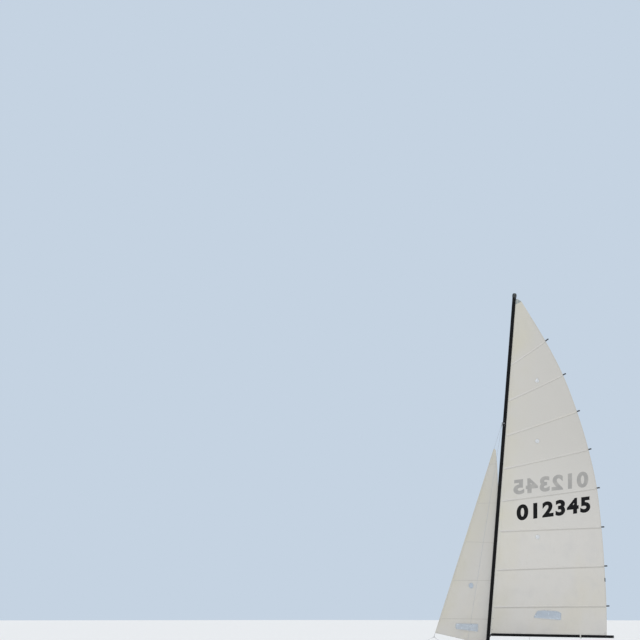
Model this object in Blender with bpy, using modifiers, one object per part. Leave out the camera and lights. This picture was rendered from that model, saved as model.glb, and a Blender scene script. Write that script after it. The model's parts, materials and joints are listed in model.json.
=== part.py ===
"""Sixteen-foot beach catamaran with its sails up, standing on its keels with both rudders kicked up.

Row frame: +X to the bow, +Y to port, +Z up, origin on the ground under the middle of the boat.
The mast leans aft, and at rest it is turned with the boom towards the starboard side.
"""

import math

import bmesh
import bpy
from mathutils import Matrix, Vector

# Gaps between pieces, and how far a cutter runs past what it cuts
GAP = 0.0003
CLOTH_GAP = 0.0006
MOVING = 0.005
CUT_PAST = 0.050
WELD = 0.00001

# Hulls: bow and stern, outer side, and the largest section
BOW_X = 2.93
STERN_AFT = 2.11
OUTER_Y = 1.193
HULL_WIDTH = 0.30
HULL_HEIGHT = 0.66
LIP = 0.012
LIP_HEIGHT = 0.016
# share of the length from the bow, keel height, deck height, width, outer side moved in
STATION_SHARES = (
    (0.000, 0.560, 1.000, 0.060, 0.230),
    (0.012, 0.470, 0.994, 0.160, 0.190),
    (0.035, 0.385, 0.982, 0.290, 0.150),
    (0.070, 0.305, 0.962, 0.420, 0.110),
    (0.110, 0.240, 0.940, 0.540, 0.075),
    (0.160, 0.178, 0.910, 0.670, 0.045),
    (0.220, 0.120, 0.876, 0.790, 0.022),
    (0.290, 0.066, 0.838, 0.890, 0.008),
    (0.360, 0.028, 0.803, 0.955, 0.000),
    (0.430, 0.007, 0.772, 0.990, 0.000),
    (0.480, 0.000, 0.753, 1.000, 0.000),
    (0.620, 0.000, 0.712, 0.985, 0.000),
    (0.700, 0.010, 0.698, 0.940, 0.000),
    (0.780, 0.038, 0.692, 0.870, 0.004),
    (0.860, 0.085, 0.690, 0.780, 0.020),
    (0.940, 0.145, 0.689, 0.680, 0.045),
    (1.000, 0.195, 0.688, 0.600, 0.070),
)
# across from the outer side to the inner one, and up from the keel to under the lip
SECTION_OUTER_SHARES = ((0.34, 0.00), (0.20, 0.05), (0.10, 0.17), (0.04, 0.38), (0.01, 0.68))
SECTION_INNER_SHARES = ((0.99, 0.72), (0.96, 0.50), (0.86, 0.29), (0.70, 0.13), (0.53, 0.025), (0.45, 0.00))

# Frame: bars across, rails along, and castings on pylons at the corners
FRONT_BAR_X = 0.95
REAR_BAR_AFT = 1.20
BAR_ABOVE_DECK = 0.19
BAR_RADIUS = 0.032
RAIL_INSET = 0.133
RAIL_RADIUS = 0.021
CORNER_LENGTH = 0.13
CORNER_WIDTH = 0.078
CORNER_HEIGHT = 0.100
CORNER_BEVEL = 0.014
PYLON_LENGTH = 0.17
PYLON_WIDTH = 0.066
PYLON_TOP_SHARE = 0.62
PYLON_SINK = 0.02
TRAMPOLINE_THICKNESS = 0.004
STRAP_APART = 0.34
STRAP_WIDTH = 0.050
STRAP_THICKNESS = 0.003
STRIKER_RADIUS = 0.006
STRIKER_DEPTH = 0.112
POST_RADIUS = 0.013
TRACK_WIDTH = 0.030
TRACK_HEIGHT = 0.012
TRACK_INSET = 0.060
CAR_LENGTH = 0.110
CAR_WIDTH = 0.044
CAR_HEIGHT = 0.026
CAR_BEVEL = 0.004
STEP_HEIGHT = 0.028
STEP_TOP_RADIUS = 0.034
STEP_FOOT_RADIUS = 0.046

# Mast, in its own leaning frame: X aft along the boom, Y to leeward, Z up the mast
RAKE = math.radians(6.5)
SWING = math.radians(26.0)
MAST_HALF_CHORD = 0.041
MAST_HALF_WIDTH = 0.029
# fore and aft, and across, from the nose to the bottom of the sail groove
MAST_SHARES = (
    (-1.00, 0.00), (-0.97, 0.24), (-0.88, 0.48), (-0.72, 0.71), (-0.50, 0.88), (-0.22, 0.98), (0.06, 1.00),
    (0.38, 0.86), (0.70, 0.62), (0.94, 0.40), (1.00, 0.30), (1.00, 0.13), (0.92, 0.10), (0.86, 0.20),
    (0.76, 0.20), (0.72, 0.00),
)
MAST_BASE_HEIGHT = 0.055
GOOSENECK_UP = 0.46
HOUNDS_UP = 4.705
TOPMAST = 2.82
TIP_HEIGHT = 0.095
TIP_LIP_SHARE = 1.16
# how wide the cap still is, and how far up it
TIP_SHARES = ((1.0, 0.0), (1.0, 0.55), (0.9, 0.85), (0.55, 1.0))
BASE_LIP_SHARE = 1.08
FIT_SHARE = 1.02
TANG_WALL = 0.009
TANG_HEIGHT = 0.036
TANG_AFT_SHARE = 0.5
SHACKLE_RADIUS = 0.016
PIVOT_CLEAR = 0.015
SHELF_HEIGHT = 0.012
SHELF_HALF_WIDTH = 0.014

# Boom
TONGUE_LENGTH = 0.009
BOOM_LENGTH = 2.730
BOOM_RISE = math.radians(5.0)
BOOM_HALF_HEIGHT = 0.030
BOOM_HALF_WIDTH = 0.020
# across and up, from the middle of the bottom round one side to the top, and the groove for the sail's foot
BOOM_SHARES = (
    (0.00, -1.00), (0.50, -0.98), (0.80, -0.88), (0.96, -0.70), (1.00, -0.40), (1.00, 0.40), (0.94, 0.72),
    (0.74, 0.92), (0.44, 1.00),
)
GROOVE_SHARES = ((0.30, 0.78), (0.30, 0.62), (0.00, 0.58))
GROOVE_LIP = 0.005
FOOT_SINK = 0.002
END_CAP = 0.030
CAP_BEVEL = 0.006
HINGE_RADIUS = 0.010
TONGUE_HEIGHT = 0.040
TONGUE_WIDTH = 0.014

# Mainsail
SAIL_THICKNESS = 0.003
LUFF_CLEAR = 0.006
HEAD_DROP = 0.025
FOOT_LENGTH = 2.621
CAMBER_SHARE = 0.045
# one row a batten from the foot up: luff height, leech distance aft, leech height
MAIN_ROW_SHARES = (
    (0.0819, 0.9783, 0.1191),
    (0.1921, 0.9359, 0.2344),
    (0.3067, 0.8855, 0.3469),
    (0.3965, 0.8222, 0.4593),
    (0.4921, 0.7253, 0.5699),
    (0.5908, 0.6021, 0.6785),
    (0.6955, 0.4578, 0.7831),
    (0.8020, 0.2839, 0.8800),
    (1.0000, 0.0450, 0.9941),
)
MAIN_CAMBER_SHARES = (0.0, 0.50, 0.85, 1.0, 1.0, 1.0, 0.95, 0.90, 0.80, 0.0)
MAIN_COLUMNS = 12
BATTEN_HALF_SHARE = 0.0140
BATTEN_THICKNESS = 0.004
BATTEN_OVER = 0.065
BATTEN_START_SHARE = 0.20
HEADBOARD_LENGTH = 0.113
HEADBOARD_DROP = 0.130
HEADBOARD_THICKNESS = 0.003
HEADBOARD_HOLE = 0.012

# Stays and jib
WIRE_RADIUS = 0.0025
PLATE_LENGTH = 0.034
PLATE_THICKNESS = 0.006
PLATE_HEIGHT = 0.060
SHROUD_AFT = 0.350
SHROUD_INSET = 0.028
BRIDLE_BACK = 0.200
BRIDLE_DROP = 0.500
RING_RADIUS = 0.018
JIB_TACK_GAP = 0.095
JIB_CHORD = 1.366
JIB_SWING = math.radians(10.0)
JIB_CAMBER_SHARE = 0.05
JIB_COLUMNS = 8
# rows from the head to the foot: luff distance down the stay, leech distance aft, leech distance down
JIB_ROW_SHARES = (
    (0.1191, 0.0387, 0.1230),
    (0.2188, 0.1696, 0.1953),
    (0.3770, 0.3720, 0.3340),
    (0.5586, 0.5497, 0.5020),
    (0.7422, 0.7123, 0.6621),
    (0.8340, 0.7947, 0.7422),
    (0.9258, 0.8798, 0.8242),
    (1.0000, 1.0000, 0.9434),
)
JIB_CAMBER_SHARES = (0.1, 0.6, 0.9, 1.0, 1.0, 0.95, 0.85, 0.6)

# Rudders
RUDDER_AXIS_AFT = 0.060
GUDGEON_WIDTH = 0.036
GUDGEON_PLATE = 0.006
GUDGEON_LOW_SHARE = 0.303
GUDGEON_HIGH_SHARE = 0.606
GUDGEON_THICKNESS = 0.014
BARREL_RADIUS = 0.014
HEAD_CLEAR = 0.020
HEAD_LENGTH = 0.131
HEAD_BELOW = 0.030
CHEEK = 0.0137
SLOT_CLEAR = 0.009
SLOT_TOP_SHARE = 0.164
PIVOT_AFT_OF_AXIS = 0.112
PIVOT_ABOVE = 0.045
BLADE_THICKNESS = 0.022
BLADE_BEVEL = 0.006
BLADE_RAISED = math.radians(12.0)
BLADE_LENGTH = 0.640
BLADE_TOP_SHARE = 0.082
# along the blade from its pivot, and across it towards the trailing edge
BLADE_SHARES = (
    (-0.070, -0.035), (-0.080, 0.000), (-0.070, 0.035), (-0.035, 0.070), (0.000, 0.080), (0.060, 0.084),
    (0.180, 0.150), (0.300, 0.185), (0.550, 0.180), (0.800, 0.150), (0.930, 0.110), (0.985, 0.060),
    (1.000, 0.000), (0.980, -0.055), (0.900, -0.095), (0.700, -0.120), (0.400, -0.125), (0.220, -0.108),
    (0.100, -0.082), (0.000, -0.080), (-0.035, -0.070),
)
# the head seen from the side: aft from its front, and up from its foot to its top
HEAD_SHARES = (
    (0.00, 0.00), (0.45, 0.00), (0.92, 0.06), (1.00, 0.16), (1.00, 0.40), (0.90, 0.56), (0.78, 0.72),
    (0.78, 1.00), (0.00, 1.00),
)
ARM_ABOVE_DECK = 0.066
ARM_SIZE = 0.034
ARM_LENGTH = 0.560
ARM_AFT = 0.060
ARM_BEVEL = 0.004
TILLER_BAR_RADIUS = 0.015
TILLER_BAR_OVER = 0.050
EXTENSION_RADIUS = 0.011
EXTENSION_START = 0.050
EXTENSION_LENGTH = 1.000

ROUND = 16
THIN_ROUND = 8
TUBE_RESOLUTION = 6
WIRE_RESOLUTION = 2
SMOOTH_ANGLE = math.radians(35.0)

for old in list(bpy.data.objects):
    bpy.data.objects.remove(old, do_unlink=True)

parts = bpy.data.collections.new("beach_catamaran")
bpy.context.scene.collection.children.link(parts)
cutters = bpy.data.collections.new("cutters")
cutters.hide_render = True
bpy.context.scene.collection.children.link(cutters)

# Looks: colour, metallic, roughness
WHITE = ((0.80, 0.80, 0.78), 0.0, 0.30)
SILVER = ((0.60, 0.61, 0.62), 1.0, 0.35)
CAST = ((0.03, 0.03, 0.032), 0.3, 0.45)
BLACK = ((0.012, 0.012, 0.013), 0.4, 0.40)
STEEL = ((0.55, 0.55, 0.56), 1.0, 0.25)
MESH_BLACK = ((0.02, 0.02, 0.022), 0.0, 0.90)
SAIL_WHITE = ((0.78, 0.77, 0.74), 0.0, 0.70)
BLADE_LOOK = ((0.72, 0.72, 0.70), 0.0, 0.35)
BATTEN_LOOK = ((0.03, 0.03, 0.03), 0.0, 0.50)


def paint(obj, colour, metallic, roughness):
    """Gives the object a Principled material of its own."""
    material = bpy.data.materials.new(obj.name)
    material.use_nodes = True
    shader = material.node_tree.nodes["Principled BSDF"]
    shader.inputs["Base Color"].default_value = (*colour, 1.0)
    shader.inputs["Metallic"].default_value = metallic
    shader.inputs["Roughness"].default_value = roughness
    obj.data.materials.append(material)


def put(name, data, look, frame, parent):
    """An object in the parts collection, or in cutters when it has no look, at frame under its parent."""
    obj = bpy.data.objects.new(name, data)
    if look is None:
        cutters.objects.link(obj)
        obj.hide_render = True
        obj.display_type = "WIRE"
    else:
        parts.objects.link(obj)
        paint(obj, *look)
    obj.parent = parent
    if frame is not None:
        obj.matrix_basis = frame
    return obj


def axis(name, frame, parent=None):
    """An empty on a joint's axis, which carries what turns there."""
    empty = bpy.data.objects.new(name, None)
    parts.objects.link(empty)
    empty.parent = parent
    empty.matrix_basis = frame
    return empty


def finish_mesh(shape, name):
    """Closes a bmesh into a mesh with its faces out, smooth apart from its sharp edges."""
    bmesh.ops.recalc_face_normals(shape, faces=shape.faces)
    mesh = bpy.data.meshes.new(name)
    shape.to_mesh(mesh)
    shape.free()
    mesh.shade_smooth()
    mesh.set_sharp_from_angle(angle=SMOOTH_ANGLE)
    return mesh


def box(name, low, high, look=None, frame=None, parent=None, bevel=0.0):
    """A box between two corners, with its edges bevelled."""
    low = Vector(low)
    high = Vector(high)
    shape = bmesh.new()
    bmesh.ops.create_cube(shape, size=1)
    bmesh.ops.scale(shape, vec=high - low, verts=shape.verts)
    place = Matrix.Translation((low + high) / 2)
    obj = put(name, finish_mesh(shape, name), look, frame @ place if frame else place, parent)
    if bevel:
        round_edges(obj, bevel)
    return obj


def round_edges(obj, width):
    modifier = obj.modifiers.new("edges", "BEVEL")
    modifier.width = width
    modifier.segments = 2
    modifier.limit_method = "ANGLE"


def cylinder(name, radius, low, high, look=None, frame=None, parent=None):
    """A cylinder along Z from low to high."""
    shape = bmesh.new()
    deep = high - low
    bmesh.ops.create_cone(shape, cap_ends=True, segments=ROUND, radius1=radius, radius2=radius, depth=deep)
    place = Matrix.Translation((0, 0, (low + high) / 2))
    return put(name, finish_mesh(shape, name), look, frame @ place if frame else place, parent)


def ball(name, radius, look, centre):
    """A round knot of fittings."""
    shape = bmesh.new()
    bmesh.ops.create_uvsphere(shape, u_segments=ROUND, v_segments=ROUND, radius=radius)
    return put(name, finish_mesh(shape, name), look, Matrix.Translation(centre), None)


def tube(name, points, radius, look, resolution=TUBE_RESOLUTION, parent=None):
    """A bar or wire through points, as a curve with filled ends."""
    curve = bpy.data.curves.new(name, "CURVE")
    curve.dimensions = "3D"
    spline = curve.splines.new("POLY")
    spline.points.add(len(points) - 1)
    for point, place in zip(spline.points, points):
        point.co = (*place, 1.0)
    curve.bevel_depth = radius
    curve.bevel_resolution = resolution
    curve.use_fill_caps = True
    return put(name, curve, look, None, parent)


def wire(name, start, end, radius, look, trim_start=0.0, trim_end=0.0):
    """A straight wire from start to end, shortened at either end."""
    way = (end - start).normalized()
    return tube(name, [start + way * trim_start, end - way * trim_end], radius, look, WIRE_RESOLUTION)


def plate(name, outlines, low, high, look, frame=None, parent=None):
    """A flat outline, with any holes in it, drawn along Z from low to high as a filled 2D curve."""
    curve = bpy.data.curves.new(name, "CURVE")
    curve.dimensions = "2D"
    curve.fill_mode = "BOTH"
    curve.extrude = (high - low) / 2
    for outline in outlines:
        spline = curve.splines.new("POLY")
        spline.points.add(len(outline) - 1)
        for point, (x, y) in zip(spline.points, outline):
            point.co = (x, y, 0, 1)
        spline.use_cyclic_u = True
    place = Matrix.Translation((0, 0, (low + high) / 2))
    return put(name, curve, look, frame @ place if frame else place, parent)


def as_mesh(obj, look):
    """Turns a curve piece into a mesh piece in the same place, so that it can be cut and bevelled."""
    bpy.context.view_layer.update()
    graph = bpy.context.evaluated_depsgraph_get()
    mesh = bpy.data.meshes.new_from_object(obj.evaluated_get(graph))
    shape = bmesh.new()
    shape.from_mesh(mesh)
    bmesh.ops.remove_doubles(shape, verts=shape.verts, dist=WELD)
    name, frame, parent = obj.name, obj.matrix_basis.copy(), obj.parent
    bpy.data.objects.remove(obj, do_unlink=True)
    return put(name, finish_mesh(shape, name), look, frame, parent)


def loft(name, rings, look, frame=None, parent=None):
    """Skins rings of equal counts, in order, and closes both ends."""
    shape = bmesh.new()
    rows = [[shape.verts.new(point) for point in ring] for ring in rings]
    for low, high in zip(rows, rows[1:]):
        for column in range(len(low)):
            shape.faces.new((low[column - 1], low[column], high[column], high[column - 1]))
    shape.faces.new(rows[0])
    shape.faces.new(rows[-1])
    return put(name, finish_mesh(shape, name), look, frame, parent)


def cloth(name, rows, thickness, look, frame=None, parent=None):
    """An open sheet through a grid of points, with Solidify for its thickness."""
    shape = bmesh.new()
    grid = [[shape.verts.new(point) for point in row] for row in rows]
    for low, high in zip(grid, grid[1:]):
        for column in range(len(low) - 1):
            shape.faces.new((low[column], low[column + 1], high[column + 1], high[column]))
    obj = put(name, finish_mesh(shape, name), look, frame, parent)
    modifier = obj.modifiers.new("thickness", "SOLIDIFY")
    modifier.thickness = thickness
    modifier.offset = 0
    return obj


def cut(obj, tool, operation="DIFFERENCE"):
    """One exact Boolean of obj with tool."""
    modifier = obj.modifiers.new(operation.lower(), "BOOLEAN")
    modifier.operation = operation
    modifier.solver = "EXACT"
    modifier.object = tool


def mirrored(half):
    """A closed outline from one half that starts and ends on the line across = 0, as (along, across)."""
    return [(x, y) for x, y in half] + [(x, -y) for x, y in reversed(half[1:-1])]


def round_outline(centre, radius, count=ROUND):
    turns = [2 * math.pi * step / count for step in range(count)]
    return [(centre[0] + radius * math.cos(turn), centre[1] + radius * math.sin(turn)) for turn in turns]


def between(shares, x):
    """Linear interpolation in rows whose first entry rises."""
    for before, after in zip(shares, shares[1:]):
        if x <= after[0]:
            part = (x - before[0]) / (after[0] - before[0])
            return [a + (b - a) * part for a, b in zip(before, after)]
    return list(shares[-1])


# Hulls: sections lofted from bow to stern, flat on the outer side and full on the inner one
stern_x = -STERN_AFT
hull_length = BOW_X - stern_x


def station_at(x):
    return between(STATION_SHARES, (BOW_X - x) / hull_length)


def deck_height(x):
    """Height of the lip round the deck at x."""
    return station_at(x)[2] * HULL_HEIGHT


def deck_middle(x):
    """Distance from the centreline to the middle of the deck at x."""
    station = station_at(x)
    return OUTER_Y - station[4] * HULL_WIDTH - station[3] * HULL_WIDTH / 2


def hull_ring(station, side):
    """One section of a hull, from the keel up the outer side, over the deck and down the inner side."""
    place, keel, deck, width, inset = station
    x = BOW_X - place * hull_length
    keel_z = keel * HULL_HEIGHT
    deck_z = deck * HULL_HEIGHT
    wide = width * HULL_WIDTH
    outer = OUTER_Y - inset * HULL_WIDTH
    lip_z = deck_z - LIP_HEIGHT
    out = [(outer - a * wide, keel_z + b * (lip_z - keel_z)) for a, b in SECTION_OUTER_SHARES]
    out += [(outer, lip_z), (outer + LIP, lip_z + LIP_HEIGHT / 4), (outer + LIP, deck_z)]
    out += [(outer - wide - LIP, deck_z), (outer - wide - LIP, lip_z + LIP_HEIGHT / 4), (outer - wide, lip_z)]
    out += [(outer - a * wide, keel_z + b * (lip_z - keel_z)) for a, b in SECTION_INNER_SHARES]
    return [Vector((x, side * y, z)) for y, z in out]


# Frame sizes that follow from the hulls
rear_bar_x = -REAR_BAR_AFT
bar_z = deck_height(FRONT_BAR_X) + BAR_ABOVE_DECK
rail_y = OUTER_Y - RAIL_INSET
bar_half = rail_y - CORNER_WIDTH / 2 - GAP
rail_rear = rear_bar_x + CORNER_LENGTH / 2 + GAP
rail_front = FRONT_BAR_X - CORNER_LENGTH / 2 - GAP


def pylon(name, x, side):
    """A tapered post that stands on the deck, with the corner casting for bar and rail fused on top."""
    low = []
    high = []
    for across, up in round_outline((0, 0), 1):
        px = x + across * PYLON_LENGTH / 2
        py = side * rail_y + up * PYLON_WIDTH / 2
        low.append(Vector((px, py, deck_height(px) + GAP)))
        narrow = x + across * PYLON_LENGTH / 2 * PYLON_TOP_SHARE
        high.append(Vector((narrow, py, bar_z - CORNER_HEIGHT / 2 + PYLON_SINK)))
    obj = loft(name, [low, high], CAST)
    half = Vector((CORNER_LENGTH, CORNER_WIDTH, CORNER_HEIGHT)) / 2
    place = Matrix.Translation((x, side * rail_y, bar_z))
    cut(obj, box(name + "_head", -half, half, None, place, None, CORNER_BEVEL), "UNION")


for label, side in (("port", 1), ("starboard", -1)):
    loft("hull_" + label, [hull_ring(station, side) for station in STATION_SHARES], WHITE)
    pylon("pylon_front_" + label, FRONT_BAR_X, side)
    pylon("pylon_rear_" + label, rear_bar_x, side)
    ends = [(rail_rear, side * rail_y, bar_z), (rail_front, side * rail_y, bar_z)]
    tube("rail_" + label, ends, RAIL_RADIUS, SILVER)

for label, x in (("front", FRONT_BAR_X), ("rear", rear_bar_x)):
    tube("crossbar_" + label, [(x, -bar_half, bar_z), (x, bar_half, bar_z)], BAR_RADIUS, SILVER)

# The trampoline fills the frame, with notches for the corner castings
cloth_rear = rear_bar_x + BAR_RADIUS + GAP
cloth_front = FRONT_BAR_X - BAR_RADIUS - GAP
cloth_side = rail_y - RAIL_RADIUS - GAP
quarter = [(rail_front, cloth_side), (rail_front, bar_half), (cloth_front, bar_half)]
rear_quarter = [(cloth_rear, bar_half), (rail_rear, bar_half), (rail_rear, cloth_side)]
port_edge = rear_quarter + quarter
trampoline_outline = port_edge + [(x, -y) for x, y in reversed(port_edge)]
half_cloth = TRAMPOLINE_THICKNESS / 2
plate("trampoline", [trampoline_outline], bar_z - half_cloth, bar_z + half_cloth, MESH_BLACK)
for label, side in (("port", 1), ("starboard", -1)):
    middle = side * STRAP_APART / 2
    strap_low = bar_z + half_cloth + GAP
    box("hiking_strap_" + label, (cloth_rear, middle - STRAP_WIDTH / 2, strap_low),
        (cloth_front, middle + STRAP_WIDTH / 2, strap_low + STRAP_THICKNESS), MESH_BLACK)

# The dolphin striker: a rod slung under the front bar, held off it by a post
striker_end = bar_z - BAR_RADIUS - STRIKER_RADIUS - GAP
striker_low = striker_end - STRIKER_DEPTH
striker_points = [(-bar_half, striker_end), (0, striker_low), (bar_half, striker_end)]
striker_way = [(FRONT_BAR_X, y, z) for y, z in striker_points]
tube("dolphin_striker", striker_way, STRIKER_RADIUS, STEEL, WIRE_RESOLUTION)
post_foot = striker_low + STRIKER_RADIUS + POST_RADIUS * STRIKER_DEPTH / bar_half + GAP
post_place = Matrix.Translation((FRONT_BAR_X, 0, 0))
cylinder("dolphin_post", POST_RADIUS, post_foot, bar_z - BAR_RADIUS - GAP, CAST, post_place)

# Traveller track and car on the rear bar
track_low = bar_z + BAR_RADIUS + GAP
car_low = track_low + TRACK_HEIGHT + GAP
track_half = bar_half - TRACK_INSET
box("traveller_track", (rear_bar_x - TRACK_WIDTH / 2, -track_half, track_low),
    (rear_bar_x + TRACK_WIDTH / 2, track_half, track_low + TRACK_HEIGHT), BLACK)
box("traveller_car", (rear_bar_x - CAR_WIDTH / 2, -CAR_LENGTH / 2, car_low),
    (rear_bar_x + CAR_WIDTH / 2, CAR_LENGTH / 2, car_low + CAR_HEIGHT), CAST, None, None, CAR_BEVEL)

# The mast's leaning frame, turned with the boom
mast_up = Vector((-math.sin(RAKE), 0, math.cos(RAKE)))
mast_back = Vector((-math.cos(RAKE), 0, -math.sin(RAKE)))
starboard = Vector((0, -1, 0))
mast_foot = Vector((FRONT_BAR_X, 0, bar_z + BAR_RADIUS + STEP_HEIGHT))
boom_way = math.cos(SWING) * mast_back + math.sin(SWING) * starboard
turned = Matrix((boom_way, mast_up.cross(boom_way), mast_up)).transposed().to_4x4()
mast_axis = axis("mast_axis", Matrix.Translation(mast_foot) @ turned)

step_low = bar_z + BAR_RADIUS + GAP
step_foot = [Vector((FRONT_BAR_X + x, y, step_low)) for x, y in round_outline((0, 0), STEP_FOOT_RADIUS)]
step_top = [mast_foot - mast_up * GAP - mast_back * x - starboard * y
            for x, y in round_outline((0, 0), STEP_TOP_RADIUS)]
loft("mast_step", [step_foot, step_top], CAST)


def mast_outline(scale, shares=MAST_SHARES):
    return mirrored([(x * MAST_HALF_CHORD * scale, y * MAST_HALF_WIDTH * scale) for x, y in shares])


# Without the groove, for what goes on the mast's ends and round it
solid_shares = MAST_SHARES[:11] + ((MAST_SHARES[10][0], 0.0),)
hounds = GOOSENECK_UP + HOUNDS_UP
mast_top = hounds + TOPMAST
base_outline = mast_outline(BASE_LIP_SHARE, solid_shares)
plate("mast_base", [base_outline], 0, MAST_BASE_HEIGHT - GAP, CAST, None, mast_axis)
plate("mast", [mast_outline(1)], MAST_BASE_HEIGHT, mast_top, BLACK, None, mast_axis)
tip_rings = []
for narrow, height in TIP_SHARES:
    level = max(height * TIP_HEIGHT, GAP)
    outline = mast_outline(TIP_LIP_SHARE * narrow, solid_shares)
    tip_rings.append([Vector((x, y, mast_top + level)) for x, y in outline])
loft("mast_tip", tip_rings, CAST, None, mast_axis)

# The tang: a collar round the mast's nose, round about the axis the mast turns on
tang_radius = MAST_HALF_CHORD + TANG_WALL
tang_aft = TANG_AFT_SHARE * MAST_HALF_CHORD
last_turn = math.acos(-tang_aft / tang_radius)
turns = [last_turn * (2 * step / ROUND - 1) for step in range(ROUND + 1)]
outer_arc = [(-tang_radius * math.cos(turn), tang_radius * math.sin(turn)) for turn in turns]
inner_half = [point for point in mast_outline(FIT_SHARE, solid_shares[:-1])[:11] if point[0] < tang_aft]
inner_arc = list(reversed(inner_half)) + [(x, -y) for x, y in inner_half[1:]]
half_tang = TANG_HEIGHT / 2
plate("mast_tang", [outer_arc + inner_arc], hounds - half_tang, hounds + half_tang, CAST, None, mast_axis)

# Gooseneck: a shelf on the mast under the boom's fitting
pivot_aft = MAST_HALF_CHORD + PIVOT_CLEAR
shelf_top = GOOSENECK_UP - TONGUE_HEIGHT / 2 - GAP
box("gooseneck", (MAST_HALF_CHORD + GAP, -SHELF_HALF_WIDTH, shelf_top - SHELF_HEIGHT),
    (pivot_aft + HINGE_RADIUS, SHELF_HALF_WIDTH, shelf_top), CAST, None, mast_axis)

# Boom: it swings on an axis beside the mast, and rises a little from square to the mast
boom_axis = axis("boom_axis", Matrix.Translation((pivot_aft, 0, GOOSENECK_UP)), mast_axis)
boom_tilt = Matrix.Rotation(-BOOM_RISE, 4, "Y")
boom_start = HINGE_RADIUS + TONGUE_LENGTH
boom_end = boom_start + BOOM_LENGTH
# Its section is drawn across Z, so this frame lays Z along the boom and its outline's Y up
along_boom = boom_tilt @ Matrix(((0, 0, 1), (1, 0, 0), (0, 1, 0))).to_4x4()
boom_half = [(x * BOOM_HALF_WIDTH, y * BOOM_HALF_HEIGHT) for x, y in BOOM_SHARES]
groove_half = SAIL_THICKNESS / 2 + CLOTH_GAP
boom_half += [(groove_half, BOOM_HALF_HEIGHT), (groove_half, BOOM_HALF_HEIGHT - GROOVE_LIP)]
boom_half += [(x * BOOM_HALF_WIDTH, y * BOOM_HALF_HEIGHT) for x, y in GROOVE_SHARES]
boom_outline = boom_half + [(-x, y) for x, y in reversed(boom_half[1:-1])]
plate("boom", [boom_outline], boom_start, boom_end, BLACK, along_boom, boom_axis)
box("boom_end_cap", (boom_end + GAP, -BOOM_HALF_WIDTH, -BOOM_HALF_HEIGHT),
    (boom_end + END_CAP, BOOM_HALF_WIDTH, BOOM_HALF_HEIGHT), CAST, boom_tilt, boom_axis, CAP_BEVEL)
fitting = cylinder("boom_fitting", HINGE_RADIUS, -TONGUE_HEIGHT / 2, TONGUE_HEIGHT / 2, CAST, None, boom_axis)
tongue = box("boom_tongue", (0, -TONGUE_WIDTH / 2, -TONGUE_HEIGHT / 3),
             (boom_start - GAP, TONGUE_WIDTH / 2, TONGUE_HEIGHT / 3), None, boom_tilt, boom_axis)
cut(fitting, tongue, "UNION")

# Mainsail: straight up the luff, bellied to leeward between luff and leech, its foot in the boom's groove
luff_aft = LUFF_CLEAR - PIVOT_CLEAR
luff_top = HOUNDS_UP + TOPMAST - HEAD_DROP
foot_slope = math.tan(BOOM_RISE)
foot_rise = BOOM_HALF_HEIGHT / math.cos(BOOM_RISE) - FOOT_SINK
foot_row = (foot_rise + luff_aft * foot_slope, FOOT_LENGTH, foot_rise + (luff_aft + FOOT_LENGTH) * foot_slope)
main_rows = [foot_row] + [(a * luff_top, b * FOOT_LENGTH, c * luff_top) for a, b, c in MAIN_ROW_SHARES]


def belly_at(chord, part, camber):
    """How far the cloth stands to leeward; past the leech it goes on straight."""
    inside = min(part, 1)
    return 4 * (inside * (1 - inside) - max(part - 1, 0)) * chord * camber


def main_point(row, part):
    """A point of the sail in the boom's frame: row counts up from the foot, part goes from luff to leech."""
    low = min(int(row), len(main_rows) - 2)
    ends = []
    for index in (low, low + 1):
        luff_up, chord, leech_up = main_rows[index]
        belly = belly_at(chord, part, CAMBER_SHARE * MAIN_CAMBER_SHARES[index])
        ends.append(Vector((luff_aft + part * chord, belly, luff_up + part * (leech_up - luff_up))))
    return ends[0].lerp(ends[1], row - low)


columns = [column / MAIN_COLUMNS for column in range(MAIN_COLUMNS + 1)]
main_grid = [[main_point(row, part) for part in columns] for row in range(len(main_rows))]
cloth("mainsail", main_grid, SAIL_THICKNESS, SAIL_WHITE, None, boom_axis)

# Battens on the windward face, counted from the head, with their tips past the leech
batten_shift = Vector((0, -(SAIL_THICKNESS / 2 + CLOTH_GAP + BATTEN_THICKNESS / 2), 0))
batten_count = len(main_rows) - 2
for number in range(1, batten_count + 1):
    row = batten_count + 1 - number
    stops = columns + [1 + BATTEN_OVER / main_rows[row][1]]
    strip = []
    for turn in (-1, 1):
        edge = [main_point(row + turn * BATTEN_HALF_SHARE, stop) + batten_shift for stop in stops]
        edge[0] = edge[0].lerp(edge[1], BATTEN_START_SHARE)
        strip.append(edge)
    cloth("batten_%d" % number, strip, BATTEN_THICKNESS, BATTEN_LOOK, None, boom_axis)

# Headboard: a plate on the windward face at the head, with three lightening holes
board_low = luff_top - HEADBOARD_DROP
board_outline = [
    (luff_aft, board_low), (luff_aft + HEADBOARD_LENGTH, luff_top - HEADBOARD_DROP / 2),
    (luff_aft + HEADBOARD_LENGTH, main_rows[-1][2]), (luff_aft, luff_top),
]
holes = []
for share in (0.28, 0.52, 0.76):
    middle = (luff_aft + HEADBOARD_LENGTH * 0.34, board_low + HEADBOARD_DROP * share)
    holes.append(round_outline(middle, HEADBOARD_HOLE, THIN_ROUND))
board_side = SAIL_THICKNESS / 2 + CLOTH_GAP
upright = Matrix.Rotation(math.radians(90), 4, "X")
board_outer = board_side + HEADBOARD_THICKNESS
plate("headboard", [board_outline] + holes, board_side, board_outer, SILVER, upright, boom_axis)

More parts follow.
